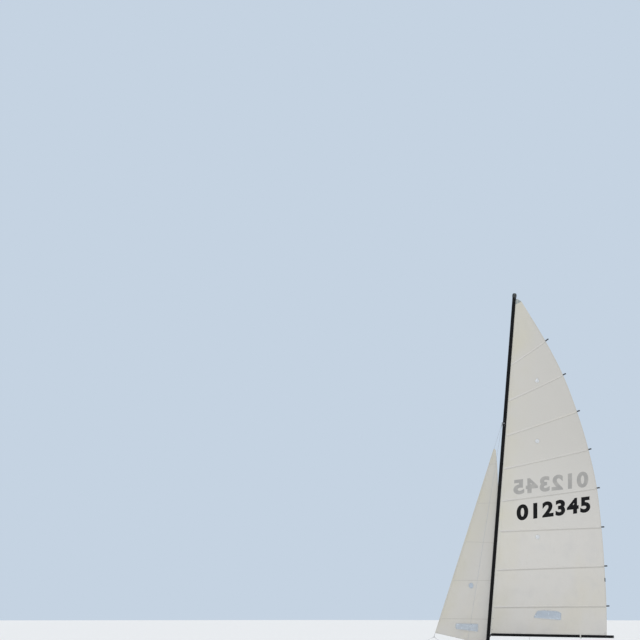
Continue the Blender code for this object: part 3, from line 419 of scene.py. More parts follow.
class Shape:
    """Gathers the closed shells of one piece."""

    def __init__(self):
        self.bm = bmesh.new()
        self.measure = self.bm.verts.layers.float_vector.new("measure")

    def loft(self, rings, place=HERE, loop=False, measures=()):
        """Joins rings of points, in a loop or with a face on each end."""
        rows = [[self.bm.verts.new(place @ Vector(point)) for point in points] for points in rings]
        for row, marks in zip(rows, measures):
            for vert, mark in zip(row, marks):
                vert[self.measure] = mark
        for low, high in zip(rows, rows[1:] + rows[:1] if loop else rows[1:]):
            for j in range(len(low)):
                self.bm.faces.new((low[j - 1], low[j], high[j], high[j - 1]))
        if not loop:
            self.bm.faces.new(rows[0])
            self.bm.faces.new(rows[-1])
        return self

    def lathe(self, profile, place, sides):
        """Turns (radius, height) points round Z."""
        return self.loft([[(x, y, height) for x, y in ring(max(radius, 0.00005), sides)]
                          for radius, height in profile], place)

    def pipe(self, points, radius, sides=10, loop=False, place=HERE):
        """A round tube along points."""
        rings, side = [], None
        for point, way in zip(points, ways(points, loop)):
            side = way.orthogonal() if side is None else side
            side = (side - way * side.dot(way)).normalized()
            rings.append([Vector(point) + side * x + way.cross(side) * y for x, y in ring(radius, sides)])
        return self.loft(rings, place, loop)

    def block(self, low, high, place, bevel, segments=3):
        """A box from one corner to the other, its edges rounded by bevel."""
        low, high = Vector(low), Vector(high)
        part = bmesh.new()
        bmesh.ops.create_cube(part, size=1, matrix=Matrix.LocRotScale((low + high) / 2, None, high - low))
        bmesh.ops.bevel(part, geom=part.edges[:] + part.verts[:], offset=bevel, segments=segments, profile=0.5,
                        affect="EDGES", clamp_overlap=True)
        return self.merge(part, place)

    def merge(self, part, place):
        bmesh.ops.transform(part, matrix=place, verts=part.verts)
        bmesh.ops.recalc_face_normals(part, faces=part.faces)
        mesh = bpy.data.meshes.new("part")
        part.to_mesh(mesh)
        part.free()
        self.bm.from_mesh(mesh)
        bpy.data.meshes.remove(mesh)
        return self

    def plate(self, outlines, low, high, place, bevel, steps=1):
        """A flat plate with holes, its edges rounded by bevel."""
        return self.merge(filled(outlines, (high - low) / 2 - bevel, bevel, steps),
                          place @ Matrix.Translation((0, 0, (low + high) / 2)))

    def bolts(self, points, way, radius, head=0.004, place=HERE):
        """Bolt heads over washers, with their feet on the points."""
        for foot in (place @ basis(point, way) for point in points):
            self.lathe([(radius * 1.5, -0.001), (radius * 1.5, head * 0.3), (radius * 1.35, head * 0.42)], foot, 20)
            self.lathe([(radius, head * 0.3), (radius, head * 0.9), (radius * 0.85, head * 1.1)], foot, 6)
            self.lathe([(radius * 0.5, head), (radius * 0.5, head * 1.5), (radius * 0.35, head * 1.7)], foot, 10)
        return self

    def side_rivets(self, points, y, radius, place=HERE):
        """Rivets at (x, z) points on both sides."""
        for side in (1, -1):
            self.rivets([(x, side * y, z) for x, z in points], (0, side, 0), radius, place)

    def rivets(self, points, way, radius=0.004, place=HERE):
        """Rivet heads with their feet on the points."""
        for point in points:
            self.lathe([(radius, -0.0008), (radius * 0.95, radius * 0.25), (radius * 0.6, radius * 0.5),
                        (0.0, radius * 0.55)], place @ basis(point, way), 12)
        return self

    def shell(self, part, tops, lows):
        """A closed thin shell over a flat mesh, between two places for each of its points."""
        part.verts.index_update()
        upper, lower = ([self.bm.verts.new(point) for point in points] for points in (tops, lows))
        for face in part.faces:
            ids = [vert.index for vert in face.verts]
            self.bm.faces.new([upper[i] for i in ids])
            self.bm.faces.new([lower[i] for i in reversed(ids)])
        for edge in part.edges:
            if len(edge.link_faces) == 1:
                a, b = (vert.index for vert in edge.verts)
                self.bm.faces.new((upper[a], upper[b], lower[b], lower[a]))
        part.free()
        return self

    def apply(self, cloth, part, low, high, size=0.05):
        """Lays a flat mesh on a cloth between two heights."""
        cells_of(part, size)
        points, normals = cloth.points([v.co.x for v in part.verts], [v.co.y for v in part.verts])
        return self.shell(part, points + normals * high, points + normals * low)

    def sweep(self, cloth, path, section, loop=False):
        """Sweeps a closed section of (across, out, in from the edge) along (x, z) points on a cloth."""
        points, normals = cloth.points(*zip(*path))
        run, rings, measures = 0.0, [], []
        for i, way in enumerate(ways(points, loop)):
            here, normal = Vector(points[i]), Vector(normals[i])
            across = normal.cross(way).normalized()
            run += (here - Vector(points[i - 1])).length if i else 0.0
            rings.append([here + across * a + normal * out for a, out, edge in section])
            measures.append([(run, edge, 0) for a, out, edge in section])
        return self.loft(rings, loop=loop, measures=measures)

    def mesh(self, name):
        bmesh.ops.recalc_face_normals(self.bm, faces=self.bm.faces)
        mesh = bpy.data.meshes.new(name)
        self.bm.to_mesh(mesh)
        self.bm.free()
        return mesh

    def finish(self, name, look, body="platform", replaces=(), place=None, slot=None):
        return settle(name, self.mesh(name), look, replaces, body, place, slot)


def filled(outlines, half=0.0, bevel=0.0, steps=1):
    """A bmesh of flat outlines with their holes, extruded by half each way, or one face where half is 0."""
    curve = bpy.data.curves.new("outline", "CURVE")
    curve.dimensions = "2D"
    curve.fill_mode = "BOTH"
    curve.extrude = half
    if bevel:
        curve.bevel_depth = bevel
        curve.offset = -bevel
        curve.bevel_resolution = steps
    for outline in outlines:
        spline = curve.splines.new("POLY")
        spline.points.add(len(outline) - 1)
        for point, (x, y) in zip(spline.points, outline):
            point.co = (x, y, 0, 1)
        spline.use_cyclic_u = True
    return from_curve(curve)


def as_seen(obj):
    """A new mesh of an object with its modifiers applied."""
    bpy.context.view_layer.update()
    return bpy.data.meshes.new_from_object(obj.evaluated_get(bpy.context.evaluated_depsgraph_get()))


def from_curve(curve):
    """The bmesh of a curve or text, with its points joined."""
    obj = linked(bpy.data.objects.new("outline", curve))
    mesh = as_seen(obj)
    part = bmesh.new()
    part.from_mesh(mesh)
    bmesh.ops.remove_doubles(part, verts=part.verts, dist=0.00002)
    bpy.data.objects.remove(obj, do_unlink=True)
    bpy.data.meshes.remove(mesh)
    return part


def settle(name, mesh, look, replaces, body="platform", place=None, slot=None):
    """Puts a finished mesh in the scene as a piece on its body."""
    mesh.shade_smooth()
    mesh.set_sharp_from_angle(angle=SMOOTH_ANGLE)
    mesh.materials.clear()
    mesh.materials.append(look.material)
    obj = linked(bpy.data.objects.new(name, mesh))
    if place is not None:
        obj.matrix_world = place
    bpy.context.view_layer.update()
    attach(obj, body)
    if replaces:
        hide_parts(*replaces)
    return obj


def keep(look, *names):
    """CAD nodes whose shape is right get their material."""
    for node in (nodes[name] for name in names):
        if not node.material_slots:
            node.data.materials.append(look.material)
        for holder in node.material_slots:
            holder.material = look.material


# ---------------------------------------------------------------- places taken from the frame's sizes

BAR_Z, BAR_RADIUS, BAR_HALF = 0.71038, 0.032, 1.0207
BAR_TOP, BAR_FOOT = BAR_Z + BAR_RADIUS, BAR_Z - BAR_RADIUS
FRONT_X, REAR_X = 0.95, -1.20
RAIL_Y, RAIL_RADIUS = 1.06, 0.021
BOW_X, STERN_X = 2.93, -2.11
HULL_LENGTH = BOW_X - STERN_X
OUTER_Y, HULL_WIDTH, HULL_HEIGHT = 1.193, 0.30, 0.66
GAP = 0.0003
SIDES = (("port", 1), ("starboard", -1))
# share of the length from the bow, then keel height, deck height, width and inset of the outer side as shares
STATIONS = (
    (0.000, 0.560, 1.000, 0.060, 0.230), (0.012, 0.470, 0.994, 0.160, 0.190), (0.035, 0.385, 0.982, 0.290, 0.150),
    (0.070, 0.305, 0.962, 0.420, 0.110), (0.110, 0.240, 0.940, 0.540, 0.075), (0.160, 0.178, 0.910, 0.670, 0.045),
    (0.220, 0.120, 0.876, 0.790, 0.022), (0.290, 0.066, 0.838, 0.890, 0.008), (0.360, 0.028, 0.803, 0.955, 0.000),
    (0.430, 0.007, 0.772, 0.990, 0.000), (0.480, 0.000, 0.753, 1.000, 0.000), (0.620, 0.000, 0.712, 0.985, 0.000),
    (0.700, 0.010, 0.698, 0.940, 0.000), (0.780, 0.038, 0.692, 0.870, 0.004), (0.860, 0.085, 0.690, 0.780, 0.020),
    (0.940, 0.145, 0.689, 0.680, 0.045), (1.000, 0.195, 0.688, 0.600, 0.070),
)
STATION_AT = [row[0] for row in STATIONS]
RAKE, SWING, BOOM_RISE, JIB_SWING = (math.radians(a) for a in (6.5, 26.0, 5.0, 10.0))
HOUNDS, HINGE_AFT, HINGE_UP = 5.165, 0.056, 0.46

mast_up = Vector((-math.sin(RAKE), 0, math.cos(RAKE)))
mast_back = Vector((-math.cos(RAKE), 0, -math.sin(RAKE)))
starboard = Vector((0, -1, 0))
mast_foot = Vector((FRONT_X, 0, BAR_TOP + 0.028))
MAST = axes(mast_foot, math.cos(SWING) * mast_back + math.sin(SWING) * starboard, mast_up)
BOOM = MAST @ Matrix.Translation((HINGE_AFT, 0, HINGE_UP))
ALONG = BOOM @ Matrix.Rotation(-BOOM_RISE, 4, "Y")
SIDE_VIEW = Matrix.Rotation(math.radians(90), 4, "X")


def station(x):
    """Keel height, deck height, width and inset of the outer side, in metres, on the smooth hull."""
    share = (BOW_X - x) / HULL_LENGTH
    keel, deck, width, inset = (float(steady(STATION_AT, column, [share])[0]) for column in list(zip(*STATIONS))[1:])
    return keel * HULL_HEIGHT, deck * HULL_HEIGHT, width * HULL_WIDTH, inset * HULL_WIDTH


def deck_height(x):
    return float(np.interp((BOW_X - x) / HULL_LENGTH, STATION_AT, [row[2] for row in STATIONS])) * HULL_HEIGHT


def deck_middle(x):
    keel, deck, width, inset = station(x)
    return OUTER_Y - inset - width / 2


shackle = mast_foot + mast_up * HOUNDS - mast_back * 0.071
to_bridle = Vector((2.73, 0, deck_height(2.73) + 0.060)) - shackle
stay_down, ring_down = to_bridle.normalized(), to_bridle.length - 0.5
bridle_ring = shackle + stay_down * ring_down
ahead = Vector((-1, 0, 0))
stay_aft = (ahead - stay_down * stay_down.dot(ahead)).normalized()
STAY = axes(shackle, math.cos(JIB_SWING) * stay_aft + math.sin(JIB_SWING) * starboard, stay_down)

# ---------------------------------------------------------------- sails

HALF_SAIL = 0.0006
CUT_REACH = 0.6  # more than the deepest belly


class Cloth:
    """The smooth surface of a sail in its own frame: x aft from the luff, z along it, y across."""

    def __init__(self, rows, luff_x, lee, ripple):
        self.row = np.linspace(0, len(rows) - 1, 900)
        at = np.arange(len(rows))
        self.luff, self.chord, self.leech, self.camber = (steady(at, column, self.row) for column in zip(*rows))
        self.luff_x, self.lee, self.ripple = luff_x, lee, ripple

    def belly(self, xs, zs):
        """y at each x and z."""
        out = np.empty(len(xs))
        for i, (x, z) in enumerate(zip(xs, zs)):
            heights = self.luff + (x - self.luff_x) / self.chord * (self.leech - self.luff)
            row = float(np.interp(z, heights, self.row))
            chord = float(np.interp(row, self.row, self.chord))
            camber = float(np.interp(row, self.row, self.camber))
            part = (x - self.luff_x) / chord
            inside = min(part, 1)
            deep = 4 * (inside * (1 - inside) - max(part - 1, 0)) * chord * camber
            # the cloth puckers a little between its battens, most near its edges
            edge = 0.35 + 0.65 * abs(2 * inside - 1)
            pucker = math.sin(math.pi * (row % 1)) ** 2 * math.sin(inside * 17 + row * 2.1) * self.ripple * edge
            out[i] = self.lee * (deep + pucker * max(0.0, min(1.0, inside * 12, (1 - inside) * 12)))
        return out

    def points(self, xs, zs):
        """Points on the cloth, and the windward normals there."""
        xs, zs = np.asarray(xs, float), np.asarray(zs, float)
        step = 0.004
        y = self.belly(xs, zs)
        slope_x = (self.belly(xs + step, zs) - y) / step
        slope_z = (self.belly(xs, zs + step) - y) / step
        normals = np.stack([slope_x, -np.ones(len(xs)), slope_z], axis=1) * self.lee
        return np.stack([xs, y, zs], axis=1), normals / np.linalg.norm(normals, axis=1)[:, None]

    def line(self, row, start, end, count):
        """(x, z) points along one row, from one share of its chord to another."""
        luff, chord, leech = (float(np.interp(row, self.row, column)) for column in (self.luff, self.chord, self.leech))
        return [(self.luff_x + t * chord, luff + t * (leech - luff)) for t in np.linspace(start, end, count)]

    def spot(self, row, part):
        return self.line(row, part, part, 1)[0]

    def edge(self, part, start, end, count, inset):
        """(x, z) points up an edge, from one row to another, moved in by inset."""
        out = [self.spot(row, part) for row in np.linspace(start, end, count)]
        way = np.gradient(np.array(out), axis=0)
        way /= np.linalg.norm(way, axis=1)[:, None]
        inward = inset if part < 0.5 else -inset
        return [(x + inward * w[1], z - inward * w[0]) for (x, z), w in zip(out, way)]

    def grid(self, columns, rows):
        """Points and normals in rows and columns over the whole cloth."""
        flat = [point for row in rows for point in self.line(row, 0, 1, columns)]
        return (values.reshape(len(rows), columns, 3) for values in self.points(*zip(*flat)))


def thick_sheet(points, normals, half):
    """A closed thin shell about a grid of points."""
    shape = Shape()
    rows, columns = points.shape[:2]
    grids = [[[shape.bm.verts.new(points[i, j] + side * half * normals[i, j]) for j in range(columns)]
              for i in range(rows)] for side in (1, -1)]
    for grid in grids:
        for low, high in zip(grid, grid[1:]):
            for j in range(columns - 1):
                shape.bm.faces.new((low[j], low[j + 1], high[j + 1], high[j]))
    rim = [(0, j) for j in range(columns)] + [(i, columns - 1) for i in range(1, rows)]
    rim += [(rows - 1, j) for j in range(columns - 2, -1, -1)] + [(i, 0) for i in range(rows - 2, 0, -1)]
    for (i, j), (k, m) in zip(rim, rim[1:] + rim[:1]):
        shape.bm.faces.new((grids[0][i][j], grids[0][k][m], grids[1][k][m], grids[1][i][j]))
    return shape


def tape(width, high, low=None):
    """A flat tape on both faces of the cloth, or from low to high."""
    low, half = -high if low is None else low, width / 2
    return [(-half, low, 0), (0, low, half), (half, low, 0), (half, high, 0), (0, high, half), (-half, high, 0)]


def cells_of(part, size):
    """Cuts a flat bmesh into a grid, so that it can follow a curved surface."""
    for axis, values in enumerate(zip(*(vert.co.xy for vert in part.verts))):
        way = Vector([float(axis == i) for i in range(3)])
        for step in range(1, int((max(values) - min(values)) / size) + 1):
            bmesh.ops.bisect_plane(part, geom=part.verts[:] + part.edges[:] + part.faces[:], dist=1e-6,
                                   plane_co=way * (min(values) + step * size), plane_no=way)
    return part


def cut_windows(mesh, outlines):
    """Cuts window outlines of (x, z) through a sail's mesh, and returns the new mesh."""
    sail = linked(bpy.data.objects.new("cut", mesh))
    tools = []
    for outline in outlines:
        cutter = Shape().loft([[(x, y, z) for x, z in outline] for y in (-CUT_REACH, CUT_REACH)])
        tools.append(linked(bpy.data.objects.new("window_cut", cutter.mesh("window_cut"))))
        modifier = sail.modifiers.new("window", "BOOLEAN")
        modifier.operation, modifier.solver, modifier.object = "DIFFERENCE", "EXACT", tools[-1]
    out = as_seen(sail)
    for obj in tools + [sail]:
        bpy.data.objects.remove(obj, do_unlink=True)
    return out


def digits(text, corners, mirrored):
    """A flat bmesh of plain digits that fill the four (x, z) corners: low left, low right, high right, high left."""
    curve = bpy.data.curves.new("digits", "FONT")
    curve.body = text
    curve.resolution_u = 9
    curve.offset = 0.045
    curve.space_character = 1.16
    part = from_curve(curve)
    xs, ys = zip(*(vert.co.xy for vert in part.verts))
    low_left, low_right, high_right, high_left = (Vector(c) for c in corners)
    for vert in part.verts:
        s = (vert.co.x - min(xs)) / (max(xs) - min(xs))
        t = (vert.co.y - min(ys)) / (max(ys) - min(ys))
        s = 1 - s if mirrored else s
        vert.co = low_left.lerp(low_right, s).lerp(high_left.lerp(high_right, s), t).to_3d()
    return part


def corner_patches(cloth, row, corners, head_low, head_top):
    """Three reinforcing layers that fan out from each low corner, and a panel across the head."""
    shape = Shape()
    for part, first_turn, last_turn, size in corners:
        x, z = cloth.spot(row, part)
        for layer in range(3):
            reach, half = size * (1 - 0.28 * layer), 0.0014 + 0.0004 * layer
            fan = [(x, z)] + [(x + reach * math.cos(turn), z + reach * math.sin(turn))
                              for turn in np.linspace(first_turn, last_turn, 9)]
            shape.apply(cloth, filled([fan]), -half, half, 0.06)
    return shape.apply(cloth, filled([head_low + head_top[::-1]]), -0.0016, 0.0016, 0.06)


def grown(outline, by):
    """An outline moved out by a distance from its middle line."""
    outline, out = np.array(outline), []
    middle = np.mean(outline, axis=0)
    for i, here in enumerate(outline):
        way = outline[(i + 1) % len(outline)] - outline[i - 1]
        normal = np.array([way[1], -way[0]]) / np.linalg.norm(way)
        out.append(tuple(here + normal * math.copysign(by, np.dot(normal, here - middle))))
    return out


def border(shape, cloth, window):
    shape.sweep(cloth, grown(window, 0.008), tape(0.022, 0.0012), loop=True)


def window_film(shape, cloth, window):
    return shape.apply(cloth, filled([grown(window, 0.006)]), -0.0003, 0.0003)


def pressed_rings(shape, cloth, rings):
    """Rings pressed through the cloth, proud of both faces, with their dark holes."""
    for x, z, radius in rings:
        (centre,), (normal,) = cloth.points([x], [z])
        place = basis(centre, normal)
        for flip in (place, place @ Matrix.Rotation(math.pi, 4, "X")):
            shape.lathe([(radius, 0.0008), (radius, 0.0030), (radius * 0.93, 0.0042), (radius * 0.66, 0.0038),
                         (radius * 0.55, 0.0016), (radius * 0.30, 0.0013)], flip, 28)
    return shape


ON_BOOM, ON_STAY = {"body": "boom", "place": BOOM}, {"place": STAY}
LUFF_X, FOOT, LUFF = -0.009, 2.621, 7.5
foot_rise = 0.030 / math.cos(BOOM_RISE) - 0.002
slope = math.tan(BOOM_RISE)
# height of the luff end, chord and height of the leech end as shares, and share of the full camber, from the foot up
MAIN_SHARES = (
    (0.0819, 0.9783, 0.1191, 0.50), (0.1921, 0.9359, 0.2344, 0.85), (0.3067, 0.8855, 0.3469, 1.0),
    (0.3965, 0.8222, 0.4593, 1.0), (0.4921, 0.7253, 0.5699, 1.0), (0.5908, 0.6021, 0.6785, 0.95),
    (0.6955, 0.4578, 0.7831, 0.90), (0.8020, 0.2839, 0.8800, 0.80), (1.0000, 0.0450, 0.9941, 0.0),
)
main_rows = [(foot_rise + LUFF_X * slope, FOOT, foot_rise + (LUFF_X + FOOT) * slope, 0.0)]
main_rows += [(a * LUFF, b * FOOT, c * LUFF, 0.045 * k) for a, b, c, k in MAIN_SHARES]
main = Cloth(main_rows, LUFF_X, 1, 0.0025)


def on_main(*points):
    """From metres aft of the mast's axis and up from the boom's pivot, to the sail's frame."""
    return [(q - HINGE_AFT, p) for q, p in points]


main_window = corner_cut(on_main((0.985, 0.468), (1.055, 0.625), (1.20, 0.655), (1.50, 0.668), (1.605, 0.640),
                                 (1.615, 0.478)), 0.035)
main_spots = [ring(0.050, 20, centre) for centre in on_main((0.76, 4.368), (0.927, 2.25))]
main_spots.append(corner_cut(on_main((0.598, 5.69), (0.655, 5.785), (0.715, 5.70), (0.66, 5.655)), 0.015))
mesh = thick_sheet(*main.grid(58, np.linspace(0, 9, 127)), HALF_SAIL).mesh("sail_main")
sail_main = settle("sail_main", cut_windows(mesh, [main_window] + main_spots), main_look, replaces=["mainsail"],
                   **ON_BOOM)

foot_line = [(x, z + 0.020) for x, z in main.line(0, 0.004, 0.996, 60)]
main_luff, main_leech, main_foot = (
    Shape().sweep(main, path, section).finish("sail_main_%s_tape" % name, main_tape, **ON_BOOM)
    for name, path, section in (("luff", main.edge(0, 0.02, 8.99, 120, 0.032), tape(0.062, 0.0013)),
                                ("leech", main.edge(1, 0.02, 8.99, 140, 0.0125), tape(0.025, 0.0011)),
                                ("foot", foot_line, tape(0.034, 0.0013))))

# batten pockets on the windward face, the battens in them, a seam under each, and the ties at their ends
POCKET = [(-0.021, -0.0016, 0.0), (0.0, -0.0016, 0.02), (0.021, -0.0016, 0.0), (0.021, 0.0014, 0.0),
          (0.0155, 0.0018, 0.005), (0.0125, 0.0060, 0.009), (0.006, 0.0068, 0.015), (0.0, 0.0070, 0.021),
          (-0.006, 0.0068, 0.015), (-0.0125, 0.0060, 0.009), (-0.0155, 0.0018, 0.005), (-0.021, 0.0014, 0.0)]
STRIP = [(-0.011, 0.0016, 0), (0.011, 0.0016, 0), (0.011, 0.0050, 0), (-0.011, 0.0050, 0)]
TIP = [(-0.0135, 0.0004, 0), (0.0135, 0.0004, 0), (0.0145, 0.0034, 0), (0.0135, 0.0066, 0), (-0.0135, 0.0066, 0),
       (-0.0145, 0.0034, 0)]
TIE = [(-0.002, 0.0066, 0), (0.002, 0.0066, 0), (0.0016, 0.0088, 0), (-0.0016, 0.0088, 0)]
pockets, seams, ties = Shape(), Shape(), Shape()
for number in range(1, 9):
    row = 9 - number
    chord = main_rows[row][1]
    pockets.sweep(main, main.line(row, 0.012, 1.0, 60), POCKET)
    seams.sweep(main, [(x, z - 0.029) for x, z in main.line(row, 0.002, 0.999, 60)], tape(0.014, 0.00095))
    strip = Shape().sweep(main, main.line(row, 0.02, 1 + 0.062 / chord, 60), STRIP)
    strip.sweep(main, main.line(row, 1 - 0.004, 1 + 0.066 / chord, 8), TIP)
    strip.finish("sail_batten_%d" % number, batten_look, replaces=["batten_%d" % number], **ON_BOOM)
    for x, z in (main.spot(row, 1 - inset / chord) for inset in (0.020, 0.034)):
        ties.sweep(main, [(x, z + height) for height in np.linspace(-0.017, 0.017, 7)], TIE)
pocket_piece = pockets.finish("sail_batten_pockets", pocket_look, **ON_BOOM)
seam_piece = seams.finish("sail_main_seams", seam_look, **ON_BOOM)
tie_piece = ties.finish("sail_batten_ties", line_look, **ON_BOOM)

# corner patches, windows with their borders, the plain numbers, and grey mirrored digits on the opposite face of each
# row: painted shade of the numbers seen through the cloth
main_corners = corner_patches(main, 0.03, ((0.004, 0.12, 1.48, 0.34), (0.996, 1.66, 3.05, 0.36)),
                              main.line(8.62, 0, 1, 2), main.line(8.985, 0, 1, 2)).finish(
    "sail_main_corner_patches", main_patch, **ON_BOOM)
borders, spots = Shape(), Shape()
for window in [main_window] + main_spots:
    border(borders, main, window)
for window in main_spots:
    window_film(spots, main, window)
main_borders = borders.finish("sail_main_window_borders", main_tape, **ON_BOOM)
main_films = window_film(Shape(), main, main_window).finish("sail_main_window", film_look, **ON_BOOM)
main_discs = spots.finish("sail_main_tell_tale_windows", spot_look, **ON_BOOM)

ROW_TEXT = "012345"
numbers, through_shade = Shape(), Shape()
for corners, side in ((on_main((0.433, 2.561), (2.087, 2.907), (2.060, 3.257), (0.405, 2.914)), 1),
                      (on_main((0.319, 3.13), (2.00, 3.45), (1.973, 3.801), (0.293, 3.462)), -1)):
    # each row's ink on one face, and its painted shade seen through the cloth on the other
    for shape, facing, proud in ((numbers, side, 0.0004), (through_shade, -side, 0.0002)):
        low, high = sorted(facing * height for height in (HALF_SAIL - 0.0002, HALF_SAIL + proud))
        shape.apply(main, digits(ROW_TEXT, corners, side < 0), low, high, 0.04)
number_piece = numbers.finish("sail_numbers", ink_look, **ON_BOOM)
through_shade_piece = through_shade.finish("sail_numbers_showing_through", numbers_through_shade_look, **ON_BOOM)

# headboard: two riveted plates with lightening holes, and the halyard's shackle
board = corner_cut([(LUFF_X + x, z) for x, z in ((0.001, 7.372), (0.112, 7.436), (0.113, 7.455), (0.001, 7.499))],
                   0.010)
holes = [ring(0.010, 16, (LUFF_X + 0.038, z)) for z in (7.412, 7.442, 7.471)]
shape, hardware = Shape(), Shape()
for side in (1, -1):
    place = Matrix(((1, 0, 0, 0), (0, 0, 1, side * 0.0019), (0, 1, 0, 0), (0, 0, 0, 1)))
    shape.plate([board] + holes, -0.0012, 0.0012, place, 0.0005)
shape.finish("sail_headboard", plate_look, replaces=["headboard"], **ON_BOOM)
hardware.side_rivets([(LUFF_X + x, z) for x, z in (
    (0.012, 7.392), (0.012, 7.485), (0.062, 7.424), (0.062, 7.470), (0.098, 7.446), (0.012, 7.44))], 0.0031, 0.0035)
hardware.pipe([(LUFF_X + 0.022 + 0.011 * x, 0.009 * y, 7.494 + 0.009 * y) for x, y in ring(1, 20)], 0.0022, 8, True)
pressed_rings(hardware, main, ((LUFF_X + 0.036, 0.118, 0.013), (FOOT + LUFF_X - 0.045, 0.300, 0.013),
                               (LUFF_X + 0.034, 0.36, 0.011)))
main_hardware = hardware.finish("sail_main_rivets_and_rings", steel, slot="headboard_alloy", **ON_BOOM)
leech_mark = Shape().sweep(main, main.edge(1, 1.62, 1.71, 8, 0.008), tape(0.020, 0.0019)).finish(
    "sail_leech_ribbon", ink_look, **ON_BOOM)

# jib, from its head down
JIB_LUFF, JIB_CHORD, TACK = 0.0031, 1.366, ring_down - 0.095
JIB_SHARES = (
    (0.1191, 0.0387, 0.1230, 0.1), (0.2188, 0.1696, 0.1953, 0.6), (0.3770, 0.3720, 0.3340, 0.9),
    (0.5586, 0.5497, 0.5020, 1.0), (0.7422, 0.7123, 0.6621, 1.0), (0.8340, 0.7947, 0.7422, 0.95),
    (0.9258, 0.8798, 0.8242, 0.85), (1.0000, 1.0000, 0.9434, 0.6),
)
jib = Cloth([(a * TACK, b * JIB_CHORD, c * TACK, 0.05 * k) for a, b, c, k in JIB_SHARES], JIB_LUFF, -1, 0.002)
CLEW_X, CLEW_Z = JIB_LUFF + JIB_CHORD, JIB_SHARES[-1][2] * TACK
jib_window = corner_cut([(0.440, 4.805), (0.405, 4.680), (0.965, 4.448), (1.020, 4.620)], 0.035)
jib_spot = ring(0.065, 20, (0.483, 3.727))
mesh = thick_sheet(*jib.grid(36, np.linspace(0, 7, 113)), HALF_SAIL).mesh("sail_jib")
sail_jib = settle("sail_jib", cut_windows(mesh, [jib_window, jib_spot]), jib_look, replaces=["jib"], **ON_STAY)

jib_luff, jib_leech, jib_foot = (
    Shape().sweep(jib, path, section).finish("sail_jib_%s_tape" % name, jib_tape, **ON_STAY)
    for name, path, section in (
        ("luff", jib.edge(0, 0.05, 6.98, 110, 0.021), tape(0.036, 0.0013)),
        ("leech", jib.edge(1, 0.05, 6.98, 110, 0.0125), tape(0.025, 0.0011)),
        ("foot", [(x, z - 0.014) for x, z in jib.line(7, 0.006, 0.994, 40)], tape(0.026, 0.0013))))
shape = Shape()
for luff_down in (0.99, 1.93, 2.86, 3.80, 4.74):
    row = float(np.interp(luff_down, jib.luff, jib.row))
    shape.sweep(jib, jib.line(row, 0.01, 0.99, 40), tape(0.016, 0.00095))
jib_seams = shape.finish("sail_jib_seams", seam_look, **ON_STAY)
jib_corners = corner_patches(jib, 6.97, ((0.006, -1.53, -0.25, 0.30), (0.994, -3.24, -1.87, 0.30)),
                             jib.line(0.75, 0.02, 0.98, 2), jib.line(0.03, 0.05, 0.95, 2)).finish(
    "sail_jib_corner_patches", jib_patch, **ON_STAY)
borders, jib_films = Shape(), []
for name, window in (("window", jib_window), ("tell_tale_window", jib_spot)):
    border(borders, jib, window)
    jib_films.append(window_film(Shape(), jib, window).finish("sail_jib_" + name, film_look, **ON_STAY))
jib_borders = borders.finish("sail_jib_window_borders", jib_tape, **ON_STAY)
rings = ((JIB_LUFF + 0.045, TACK - 0.035, 0.012), (CLEW_X - 0.045, CLEW_Z - 0.050, 0.012),
         (CLEW_X - 0.075, CLEW_Z - 0.115, 0.012))
jib_rings = pressed_rings(Shape(), jib, rings).finish("sail_jib_rings", steel, **ON_STAY)

# the jib's luff sleeve, zipped round the forestay
heights = np.linspace(JIB_SHARES[0][0] * TACK + 0.02, TACK - 0.01, 60)
rings = [(0.0068 * (1 + 0.06 * math.sin(z * 21) + 0.04 * math.sin(z * 47)), z) for z in heights]
rings += [(0.0052, z) for z in heights[::-1]]
jib_sleeve = Shape().loft([[(x + 0.001, y, z) for x, y in ring(radius, 18)] for radius, z in rings], loop=True).finish(
    "sail_jib_luff_sleeve", jib_tape, **ON_STAY)

# ---------------------------------------------------------------- mast and boom

NOSE = ((-1.00, 0.00), (-0.985, 0.14), (-0.95, 0.29), (-0.88, 0.48), (-0.72, 0.71), (-0.50, 0.88), (-0.22, 0.98),
        (0.06, 1.00), (0.38, 0.86), (0.70, 0.62), (0.94, 0.40), (1.00, 0.30))
GROOVE = ((1.00, 0.13), (0.92, 0.10), (0.86, 0.20), (0.76, 0.20), (0.72, 0.00))
CHORD, WIDTH = 0.041, 0.029
MAST_TOP = 7.985


def mast_section(scale=1.0, groove=False):
    half = [(x * CHORD * scale, y * WIDTH * scale) for x, y in rounded(NOSE, 34)]
    half += [(x * CHORD * scale, y * WIDTH * scale) for x, y in GROOVE] if groove else [(half[-1][0], 0.0)]
    return half + [(x, -y) for x, y in reversed(half[1:-1])]


def spar(section, heights):
    return [[(x, y, z) for x, y in section] for z in heights]


def mast_casting(levels, low, name, look, node):
    """A casting with the mast's outline, from (scale, height) levels."""
    rings = [[(x, y, low + z) for x, y in mast_section(scale)] for scale, z in levels]
    Shape().loft(rings, MAST).finish(name, look, "mast", [node])


Shape().loft(spar(mast_section(groove=True), [0.055, *np.linspace(0.25, MAST_TOP, 32)]), MAST).finish(
    "mast_extrusion", mast_look, "mast", ["mast"])
mast_casting(((1.16, 0.0003), (1.17, 0.004), (1.16, 0.040), (1.19, 0.046), (1.19, 0.056), (1.13, 0.062), (1.06, 0.075),
              (0.90, 0.086), (0.62, 0.093), (0.30, 0.095)), MAST_TOP, "mast_tip_casting", cast_dark, "mast_tip")
mast_casting(((1.02, 0.0), (1.08, 0.003), (1.08, 0.020), (1.04, 0.024), (1.04, 0.046), (1.08, 0.049), (1.08, 0.0547)),
             0, "mast_base_casting", cast_black, "mast_base")

